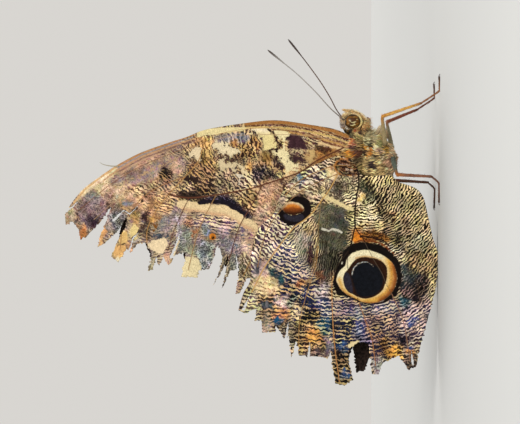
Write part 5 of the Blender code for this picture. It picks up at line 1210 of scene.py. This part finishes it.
def unwrap(made):
    """An unwrap of a piece's own shape."""
    bpy.ops.object.select_all(action="DESELECT")
    made.select_set(True)
    bpy.context.view_layer.objects.active = made
    made.data.uv_layers.new(name="OFBake")
    bpy.ops.object.mode_set(mode="EDIT")
    bpy.ops.mesh.select_all(action="SELECT")
    bpy.ops.uv.smart_project(angle_limit=math.radians(66), island_margin=0.004)
    bpy.ops.object.mode_set(mode="OBJECT")


def in_millimetres(mesh):
    points = np.empty(len(mesh.vertices) * 3)
    mesh.vertices.foreach_get("co", points)
    return points.reshape(-1, 3) * 1000 + (MIDDLE, 0, 0)


class Ground:
    """A skin's triangles, to set hairs on: places, normals and where they lie in the unwrap."""

    def __init__(self, made):
        mesh = made.data
        mesh.calc_loop_triangles()
        count = len(mesh.loop_triangles)
        corners, loops = np.empty(count * 3, np.int32), np.empty(count * 3, np.int32)
        mesh.loop_triangles.foreach_get("vertices", corners)
        mesh.loop_triangles.foreach_get("loops", loops)
        points = in_millimetres(mesh)
        self.triangles = points[corners.reshape(-1, 3)]
        normals = np.empty(len(mesh.vertices) * 3)
        mesh.vertices.foreach_get("normal", normals)
        self.normals = normals.reshape(-1, 3)[corners.reshape(-1, 3)].mean(axis=1)
        flat = np.empty(len(mesh.loops) * 2)
        mesh.uv_layers["OFBake"].data.foreach_get("uv", flat)
        self.flat = flat.reshape(-1, 2)[loops.reshape(-1, 3)]
        edges = self.triangles[:, 1:] - self.triangles[:, :1]
        self.areas = np.linalg.norm(np.cross(edges[:, 0], edges[:, 1]), axis=1) / 2

    def scatter(self, count, wanted, rng):
        """Random roots on the triangles whose middles are wanted."""
        chance = self.areas * wanted(self.triangles.mean(axis=1))
        picks = rng.choice(len(chance), count, p=chance / chance.sum())
        a, b = rng.random((2, count))
        over = a + b > 1
        a[over], b[over] = 1 - a[over], 1 - b[over]
        weights = np.column_stack([1 - a - b, a, b])
        roots = (self.triangles[picks] * weights[:, :, None]).sum(axis=1)
        flat = (self.flat[picks] * weights[:, :, None]).sum(axis=1)
        normals = self.normals[picks]
        return roots, normals / np.linalg.norm(normals, axis=1)[:, None], flat


def grow(name, roots, normals, flat, flow, lengths, widths, lift, tints, surface, rng, bend=0.5):
    """Thin curved tufts of three sides that lie along the flow over the skin."""
    count = len(roots)
    flow = flow - normals * (flow * normals).sum(axis=1)[:, None]
    flow /= np.maximum(np.linalg.norm(flow, axis=1), 1e-6)[:, None]
    across = np.cross(normals, flow)
    sway = rng.normal(0, 0.18, count)[:, None]
    flow = flow * np.cos(sway) + across * np.sin(sway)
    across = np.cross(normals, flow)
    lift = np.clip(lift * (1 + 0.35 * rng.normal(size=count)), 0.03, 1.2)[:, None]
    rings = []
    for part, thick in ((0.0, 0.75), (0.38, 1.0), (0.74, 0.62)):
        rise = np.sin(lift) * part * (1 - bend * part)
        centre = roots + lengths[:, None] * (flow * np.cos(lift) * part + normals * rise) - normals * (
            0.08 if part == 0 else 0.0)
        half = (widths * thick / 2)[:, None]
        rings += [centre + across * half, centre - across * half, centre + normals * half * 0.7]
    tip = roots + lengths[:, None] * (flow * np.cos(lift) + normals * np.sin(lift) * (1 - bend))
    points = np.stack([*rings, tip], axis=1).reshape(-1, 3)
    pattern = np.array([(0, 2, 1), (0, 1, 4), (0, 4, 3), (1, 2, 5), (1, 5, 4), (2, 0, 3), (2, 3, 5),
                        (3, 4, 7), (3, 7, 6), (4, 5, 8), (4, 8, 7), (5, 3, 6), (5, 6, 8),
                        (6, 7, 9), (7, 8, 9), (8, 6, 9)])
    faces = (pattern[None] + 10 * np.arange(count)[:, None, None]).reshape(-1, 3)
    # Painted shade and light on each hair: darkest at its root, down among the other hairs, lightest at its
    # tip
    shade = np.array([0.55] * 3 + [0.95] * 3 + [1.08] * 3 + [1.15])
    coat = np.clip(tints[:, None, :] * shade[None, :, None], 0, 1).reshape(-1, 3)
    made = make_object(name, points, faces, [surface], attributes={"coat": coat})
    offsets = np.array([(0, 0), (1, 0), (0.5, 0.15), (0, 0.4), (1, 0.4), (0.5, 0.5),
                        (0.1, 0.75), (0.9, 0.75), (0.5, 0.8), (0.5, 1.0)]) * 0.003 - 0.0015
    spots = (flat[:, None, :] + offsets[None]).reshape(-1, 2)
    layer = made.data.uv_layers.new(name="OFBake")
    layer.data.foreach_set("uv", spots[faces.ravel()].ravel())
    return made


def coat_tints(roots, rng):
    """Olive-tan hair with the darker, orange and cream patches of the body's side."""
    count = len(roots)
    side = roots[:, [0, 2]]
    tints = np.tile(colour("#cbae78"), (count, 1))
    mottle = lumps(side, 0.8, 5) + 0.8 * lumps(side, 0.4, 12) + 0.7 * lumps(side, 0.2, 15)
    mottle = mottle[:, None]
    tints = tints * (1 + 0.7 * mottle)
    belly = np.clip((13.4 - roots[:, 2]) / 2.5, 0, 1)[:, None]
    tints = blend(tints, belly, "#d9b890", 1 + 0.4 * mottle)
    back = np.clip((np.abs(roots[:, 1]) < 1.6) * (roots[:, 2] - 19.6) / 1.5, 0, 1)[:, None]
    tints = blend(tints, back, "#4a3826")
    head = np.clip((roots[:, 0] - 20.2) / 0.6, 0, 1)[:, None]
    tints = blend(tints, head, "#b88c50")
    rear = np.clip((9.4 - roots[:, 0]) / 2, 0, 1)[:, None]
    tints = blend(tints, rear, "#7a5c3e")
    for (x, z), size, code in BODY_SPOTS_AND_THROAT_LIGHT:
        away = np.hypot(side[:, 0] - x, side[:, 1] - z) * (1 + 0.35 * lumps(side, 0.7, 9))
        part = np.clip((size - away) / 0.2 + 0.5, 0, 1)[:, None] * 0.94
        tints = blend(tints, part, code, 1 + 0.3 * mottle)
    from_eye = (side - (EYE_CENTRE[0], EYE_CENTRE[2])) / (EYE_SIZE[0], EYE_SIZE[2])
    rim = np.clip((1.45 - np.linalg.norm(from_eye, axis=1)) / 0.2, 0, 1) * np.clip(
        1.2 + from_eye[:, 0] - from_eye[:, 1] * 0.5, 0, 1)
    rim = rim[:, None] * head * 0.9
    tints = blend(tints, rim, "#f0cc94")
    return tints.clip(0) * (1 + 0.5 * rng.normal(size=count)).clip(0.25, 2.2)[:, None]


def eye_clear(roots, room):
    """True where a root is clear of both eyes."""
    away = (np.abs(roots) - EYE_CENTRE) / (np.array(EYE_SIZE) + room)
    return np.linalg.norm(away, axis=1) > 1


def steady(*way):
    """Hairs that all lie one way."""
    return lambda roots: np.tile(way, (len(roots), 1))


def make_coat(skin, surface):
    """Every layer of hair on the head, thorax and abdomen."""
    ground = Ground(skin)
    rng = np.random.default_rng(8)

    def coat(name, count, wanted, stream, length, width, lift, bend=0.5):
        """One layer of hairs: where they stand, the way they lie, and their size."""
        roots, normals, flat = ground.scatter(count, lambda p: np.asarray(wanted(p), float), rng)
        keep = eye_clear(roots, 0.12)
        roots, normals, flat = roots[keep], normals[keep], flat[keep]
        lengths = length * (1 + 0.25 * rng.normal(size=len(roots))).clip(0.5, 1.6)
        widths = width * rng.uniform(0.6, 1.4, len(roots))
        flow = stream(roots)
        seen = roots + flow / np.linalg.norm(flow, axis=1)[:, None] * lengths[:, None] * 0.45
        tints = coat_tints(seen, rng)
        made = grow(name, roots, normals, flat, flow, lengths, widths, lift, tints, surface, rng, bend)
        stands_for(made, "body_fur")

    def sides_down(roots):
        """Down the thorax to the legs, and back under the wings."""
        flow = np.column_stack([14.6 - roots[:, 0], 0 * roots[:, 0], 7.5 - roots[:, 2]])
        flow /= np.linalg.norm(flow, axis=1)[:, None]
        flow[:, 0] -= 0.8 * np.clip((roots[:, 2] - 18.5) / 2, 0, 1.5)
        sway = [lumps(roots[:, [0, 2]], 2.0, seed) for seed in (3, 4)]
        return flow + 0.35 * np.column_stack([sway[0], 0 * sway[0], sway[1]])

    for side, word in SIDES:
        coat(f"thorax_coat_{word}", 11500,
             lambda p: (p[:, 0] > 9.2) & (p[:, 0] < 20.6) & (p[:, 1] * side >= 0),
             sides_down, 1.05, 0.17, 0.3)
        coat(f"thorax_locks_{word}", 3200,
             lambda p: (p[:, 0] > 9.8) & (p[:, 0] < 20.4) & (p[:, 1] * side >= 0.3),
             sides_down, 1.6, 0.32, 0.32)
        coat(f"wing_root_locks_{word}", 1100,
             lambda p: (p[:, 0] > 11.6) & (p[:, 0] < 19.6) & (p[:, 1] * side > 2.2)
             & (p[:, 2] > 17.6) & (p[:, 2] < 20.6),
             steady(-0.3, 0.0, 0.95), 2.6, 0.26, 0.6, 0.1)
    coat("throat_coat", 3000,
         lambda p: (p[:, 0] > 18.7) & (p[:, 0] < 20.8) & (p[:, 2] > 15) & (p[:, 2] < 18),
         steady(-0.2, 0.0, -0.98), 2.0, 0.2, 0.75, 0.1)
    coat("chin_coat", 3400, lambda p: (p[:, 0] > 20.2) & (p[:, 0] < 23.2) & (p[:, 2] < 18.6),
         steady(-1.0, 0.0, -0.1), 2.3, 0.22, 1.1, 0.1)
    coat("face_coat", 2600, lambda p: (p[:, 0] > 23.4) & eye_clear(p, 0.05),
         steady(0.3, 0.0, 0.95), 1.1, 0.16, 0.95, 0.1)
    coat("brow_coat", 1000, lambda p: (p[:, 0] > 21.2) & (p[:, 0] < 23.6) & (p[:, 2] > 22.2),
         steady(0.25, 0.0, 0.97), 0.8, 0.09, 1.1, 0.1)
    coat("head_coat", 12000, lambda p: (p[:, 0] >= 20.2) & eye_clear(p, 0.1),
         lambda roots: (roots - (24.9, 0.0, 19.2)) * (1, 0.6, 1), 0.62, 0.1, 0.4)
    coat("abdomen_coat", 10000, lambda p: p[:, 0] <= 9.4, steady(-0.94, 0.0, -0.34), 1.0, 0.17, 0.22)


# Eyes, mouth parts, feelers and legs
def ball(centre, size, across, around):
    """Points and faces of an egg shape, its poles at the sides of the body."""
    leans = np.linspace(0, math.pi, across)[:, None]
    turns = np.linspace(0, 2 * math.pi, around, endpoint=False)[None, :]
    shape = np.stack([np.sin(leans) * np.cos(turns), -np.cos(leans) * np.ones_like(turns),
                      np.sin(leans) * np.sin(turns)], axis=2).reshape(-1, 3)
    return shape * size + centre, tube_faces(across, around)


def make_eyes():
    surface = eye_material()
    for side, word in SIDES:
        centre = np.array((EYE_CENTRE[0], side * EYE_CENTRE[1], EYE_CENTRE[2]))
        points, faces = ball(centre, EYE_SIZE, 40, 56)
        away = (points - centre) / EYE_SIZE
        reach = np.hypot(away[:, 0], away[:, 2])
        made = make_object(f"eye_{word}_faceted", points, faces, [surface], attributes={"reach": reach})
        stands_for(made, "eye_facets", f"eye_{word}")


def shades(parts, codes):
    """Colours that blend from one code to the next along a piece."""
    table = np.array([colour(code) for code in codes])
    spots = np.linspace(0, 1, len(codes))
    return np.column_stack([np.interp(parts, spots, table[:, i]) for i in range(3)])


def tube_piece(name, route, radii, sides, surface, codes, squash=1.0):
    """A round tube whose colours blend along it."""
    points, faces, parts = tube(route, radii, sides, squash)
    return make_object(name, points, faces, [surface], attributes={"coat": shades(parts, codes)})


def along_route(roots, route):
    """The direction of a bent route next to each root, and how far along it each lies."""
    route = np.asarray(route)
    ahead = np.gradient(route, axis=0)
    near = np.linalg.norm(roots[:, None] - route[None], axis=2).argmin(axis=1)
    return ahead[near] / np.linalg.norm(ahead[near], axis=1)[:, None], near / (len(route) - 1)


def clothe(made, route, count, length, width, lift, codes, surface, seed, spread=0.2, flank=None):
    """Short scales or hairs over a tube, pointing along it; a flank colour lies on its outer sides."""
    unwrap(made)
    rng = np.random.default_rng(seed)
    roots, normals, flat = Ground(made).scatter(count, lambda p: np.where(p[:, 2] > 0.2, 1.0, 0.0), rng)
    flow, parts = along_route(roots, route)
    tints = shades(parts, codes)
    if flank:
        tints[np.abs(normals[:, 1]) > 0.88] = colour(flank)
    tints = tints * (1 + spread * rng.normal(size=count)).clip(0.4, 1.7)[:, None]
    lengths = length * (1 + 0.25 * rng.normal(size=count)).clip(0.5, 1.7)
    widths = width * rng.uniform(0.7, 1.3, count)
    return grow(made.name + "_coat", roots, normals, flat, flow, lengths, widths, lift, tints, surface, rng)


def make_mouth(fur):
    """Two haired palps, the pale rim under each eye, and the rolled tongue between the palps."""
    horn = horn_material("mouth_skin", 0.6, 2400.0)
    route = ((21.9, 17.6), (23.0, 17.4), (24.25, 18.4), (25.05, 19.9), (25.35, 21.2), (25.7, 22.5))
    codes = ("#e8dcd0", "#f6e6c8", "#f8e8c4", "#ecd4a8", "#c8a880")
    for side, word in SIDES:
        path = [(x, side * 1.0, z) for x, z in spline(route, 0.4)]
        radii = (0.45, 0.62, 0.6, 0.56, 0.48, 0.1)
        made = tube_piece(f"palp_{word}_skin", path, radii, 14, horn, codes, 0.62)
        stands_for(made, "body_fur", f"palp_{word}")
        made = clothe(made, path, 1500, 0.55, 0.12, 0.3, codes, fur, 31 + side, 0.35, "#d4b078")
        stands_for(made, "body_fur")
        turns = np.radians(np.linspace(188, 356, 40))
        path = [(EYE_CENTRE[0] + (EYE_SIZE[0] + 0.1) * math.cos(t), side * (EYE_CENTRE[1] + 0.25),
                 EYE_CENTRE[2] + (EYE_SIZE[2] + 0.1) * math.sin(t)) for t in turns]
        rim_codes = ("#c08c58", "#ecd490", "#f2dfa0", "#e8c8a0")
        made = tube_piece(f"eye_rim_{word}_skin", path, (0.06, 0.16, 0.2, 0.18, 0.06), 10, horn, rim_codes)
        stands_for(made, "body_fur")
        stands_for(clothe(made, path, 700, 0.3, 0.09, 0.4, rim_codes, fur, 41 + side, 0.25), "body_fur")
    tongue = horn_material("rolled_tongue", 0.35, 3000.0)
    points = [(23.7, 0.0, 18.9), (23.85, 0.0, 18.0)]
    turns = 2 * math.pi * np.linspace(0.02, 1.9, 90)
    reach = np.interp(turns, (0, turns[-1]), (0.9, 0.25))
    points += [(22.95 + r * math.cos(t), 0.0, 17.0 - r * math.sin(t)) for r, t in zip(reach, turns)]
    ringed = [0.19 + 0.02 * (index % 2) for index in range(len(points))]
    made = tube_piece("proboscis_coil", points, ringed, 12, tongue, ("#8a6c68", "#b49c9c", "#a08488"))
    stands_for(made, "tongue_horn", "proboscis")


def make_antennae():
    """Thin ringed feelers with a slim dark club."""
    surface = horn_material("antenna_scales", 0.55, 2000.0)
    near = ((23.3, -0.9, 22.5), (26.0, -1.9, 25.7), (30.0, -3.6, 29.4), (34.0, -5.4, 33.6),
            (37.0, -6.8, 37.3), (39.8, -8.0, 40.8))
    far = ((23.3, 0.9, 22.3), (25.6, 1.8, 24.1), (28.9, 3.3, 25.8), (33.0, 5.0, 28.3), (38.0, 6.8, 31.9),
           (FRONT_END - 0.3, 8.5, 35.8))
    # The far (left) feeler is darker brown than the grey near one: painted shade on the far side
    near_codes = ("#6a5a4c", "#8f8a84", "#a19c98", "#a8a5a2", "#9a9692", "#3c2e28")
    far_shaded_codes = ("#4a342a", "#4c362c", "#553e32", "#5a4438", "#3a2a24", "#2c1e1a")
    for route, word, codes in ((near, "right", near_codes), (far, "left", far_shaded_codes)):
        path = spline(route, 0.25)
        parts = np.linspace(0, 1, len(path))
        thick = np.interp(parts, (0, 0.03, 0.06, 0.78, 0.9, 0.97, 1),
                          (0.3, 0.3, 0.15, 0.14, 0.27, 0.25, 0.08))
        ringed = thick * np.where(np.arange(len(path)) % 3 == 0, 0.86, 1.0)
        made = tube_piece(f"antenna_{word}_ringed", path, ringed, 12, surface, codes)
        stands_for(made, "leg_horn", f"antenna_{word}")


def make_legs(fur):
    """Four walking legs of thigh, shin, foot and claws, and the two short folded forelegs."""
    horn = horn_material("leg_horn", 0.5, 1800.0)
    claw_codes = ("#2a1a12", "#1a100c")
    for (prefix, word), (femur, knee, shin, foot) in LEG_COLOURS_AND_FAR_SHADE.items():
        side = RIGHT if word == "right" else LEFT
        route, (ahead, up) = LEG_ROUTES[prefix], LEG_SHIFTS[prefix, word]
        hip, bend, ankle, heel, toe = (np.array((x + ahead, side * y, z)) for x, y, z in route)
        hip[2] += up
        bend[2] += up
        seed = 50 + 7 * side + len(prefix)
        thigh = np.array([hip + (bend - hip) * part for part in np.linspace(0, 1, 14)])
        codes = (femur, femur, femur, knee)
        made = tube_piece(f"{prefix}_femur_{word}_skin", thigh, THIGH_RADII, 14, horn, codes)
        stands_for(made, "leg_horn", f"{prefix}_femur_{word}")
        stands_for(clothe(made, thigh, 900, 0.55, 0.13, 0.16, codes, fur, seed), "leg_horn")
        calf = np.array([bend + (ankle - bend) * part for part in np.linspace(0, 1, 18)])
        codes = (knee, shin, shin, shin, foot)
        made = tube_piece(f"{prefix}_tibia_{word}_skin", calf, SHIN_RADII, 12, horn, codes)
        stands_for(made, "leg_horn", f"{prefix}_tibia_{word}")
        stands_for(clothe(made, calf, 620, 0.42, 0.1, 0.14, codes, fur, seed + 1), "leg_horn")
        spines = clothe(made, calf, 46, 0.62, 0.07, 0.75, claw_codes, horn, seed + 2)
        spines.name = f"{prefix}_tibia_{word}_spines"
        stands_for(spines, "leg_horn")
        low = np.array((0.0, 0.0, 0.22 - heel[2]))
        path = spline([ankle, heel + (0, 0, -0.1), heel + (toe - heel) * 0.25 + low * 0.9,
                       toe + (0, 0, 0.04)], 0.2)
        swell = [0.17 + 0.06 * ((index * 5 / len(path)) % 1.0) for index in range(len(path))]
        made = tube_piece(f"{prefix}_tarsus_{word}_skin", path, swell, 12, horn,
                          (foot, foot, foot, "#3a2418"))
        stands_for(made, "leg_horn", f"{prefix}_tarsus_{word}")
        codes = (foot, foot, "#4a3020")
        stands_for(clothe(made, path, 420, 0.24, 0.07, 0.3, codes, fur, seed + 3), "leg_horn")
        forward = (toe - heel) / np.linalg.norm(toe - heel)
        for way in (-1, 1):
            out = np.array((-forward[1], forward[0], 0)) * way
            claw = [toe, toe + forward * 0.3 + out * 0.16 + (0, 0, 0.1),
                    toe + forward * 0.62 + out * 0.3 + (0, 0, -0.1)]
            number = (way + 3) // 2
            made = tube_piece(f"{prefix}_claw_{word}_{number}", spline(claw, 0.06), CLAW_RADII, 8, horn,
                              claw_codes)
            stands_for(made, "leg_horn")
    for side, word in SIDES:
        route = ((18.2, 1.7, 15.4), (20.4, 2.0, 14.3), (21.4, 2.0, 13.7), (20.6, 1.9, 12.6),
                 (19.3, 1.8, 12.0))
        path = [(x, side * y, z) for x, y, z in spline(route, 0.3)]
        codes = ("#a98c64", "#cdb894", "#d8c8aa", "#b49874", "#8a7458")
        made = tube_piece(f"foreleg_{word}_skin", path, (0.32, 0.32, 0.26, 0.12), 12, horn, codes)
        stands_for(made, "leg_horn", f"foreleg_{word}")
        stands_for(clothe(made, path, 900, 0.75, 0.12, 0.35, codes, fur, 90 + side, 0.3), "leg_horn")


# Studio
def make_studio():
    """A round pale floor, an even pale surround and broad soft lamps."""
    turns = np.linspace(0, 2 * math.pi, 96, endpoint=False)
    mesh = bpy.data.meshes.new("floor")
    reach = FLOOR_RADIUS / 1000
    rim = [(reach * math.cos(t), reach * math.sin(t), 0.0) for t in turns]
    mesh.from_pydata(rim, [], [tuple(range(len(rim)))])
    mesh.materials.append(plain_material("pale_floor", "#c0c4c6", 0.9))
    add_object("floor", mesh)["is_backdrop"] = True

    world = bpy.data.worlds.new("studio")
    world.use_nodes = True
    sky = world.node_tree.nodes["Background"]
    sky.inputs["Color"].default_value = (*colour("#f4f1ec"), 1)
    sky.inputs["Strength"].default_value = 0.76
    bpy.context.scene.world = world
    bpy.context.scene.view_settings.view_transform = "Standard"
    for name, spot, size, power in (("key", (0.3, -0.8, 0.6), 0.5, 5.4),
                                    ("fill", (-0.6, -0.7, 0.25), 0.8, 1.4),
                                    ("back", (0.1, 0.8, 0.7), 0.6, 4.0)):
        lamp = bpy.data.lights.new(name, "AREA")
        lamp.size = size
        lamp.energy = power
        lamp.color = colour("#fff7ee")
        made = add_object(name, lamp)
        made.location = spot
        made.rotation_mode = "QUATERNION"
        made.rotation_quaternion = (Vector((0, 0, 0.04)) - Vector(spot)).to_track_quat("-Z", "Y")

    camera = bpy.data.cameras.new("camera")
    camera.sensor_width = 36.0
    camera.lens = camera.sensor_width * CAMERA_DISTANCE / FRAME_WIDTH
    camera.clip_start, camera.clip_end = 0.05, 20.0
    made = add_object("camera", camera)
    made.location = Vector(tuple(place((FRAME_MIDDLE[0], -CAMERA_DISTANCE, FRAME_MIDDLE[1]))))
    made.rotation_mode = "QUATERNION"
    made.rotation_quaternion = Matrix(((0, 1, 0), (0, 0, -1), (-1, 0, 0))).to_quaternion()
    bpy.context.scene.camera = made


def write_size(stage, sizes):
    """Keeps the bounds at this stage."""
    low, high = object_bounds()
    sizes[stage] = [[round(value, 6) for value in corner] for corner in (low, high)]


# The butterfly
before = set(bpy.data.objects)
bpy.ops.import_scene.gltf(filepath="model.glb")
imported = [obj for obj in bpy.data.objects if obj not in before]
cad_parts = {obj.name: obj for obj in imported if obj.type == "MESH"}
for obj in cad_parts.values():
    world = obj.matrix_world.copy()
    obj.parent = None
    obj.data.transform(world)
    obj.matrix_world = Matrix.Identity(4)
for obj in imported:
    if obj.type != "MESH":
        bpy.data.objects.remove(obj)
sizes = {}
write_size("frame", sizes)
make_wings()
skin_surface = plain_material("body_skin", "#6a5236", 0.85)
fur = coat_material("hair_scales", 0.75, 0.3)
skin = body_skin(skin_surface)
unwrap(skin)
stands_for(skin, "body_fur", "head", "thorax", "abdomen")
make_coat(skin, fur)
make_eyes()
make_mouth(fur)
make_antennae()
make_legs(fur)
make_studio()
write_size("dressed", sizes)
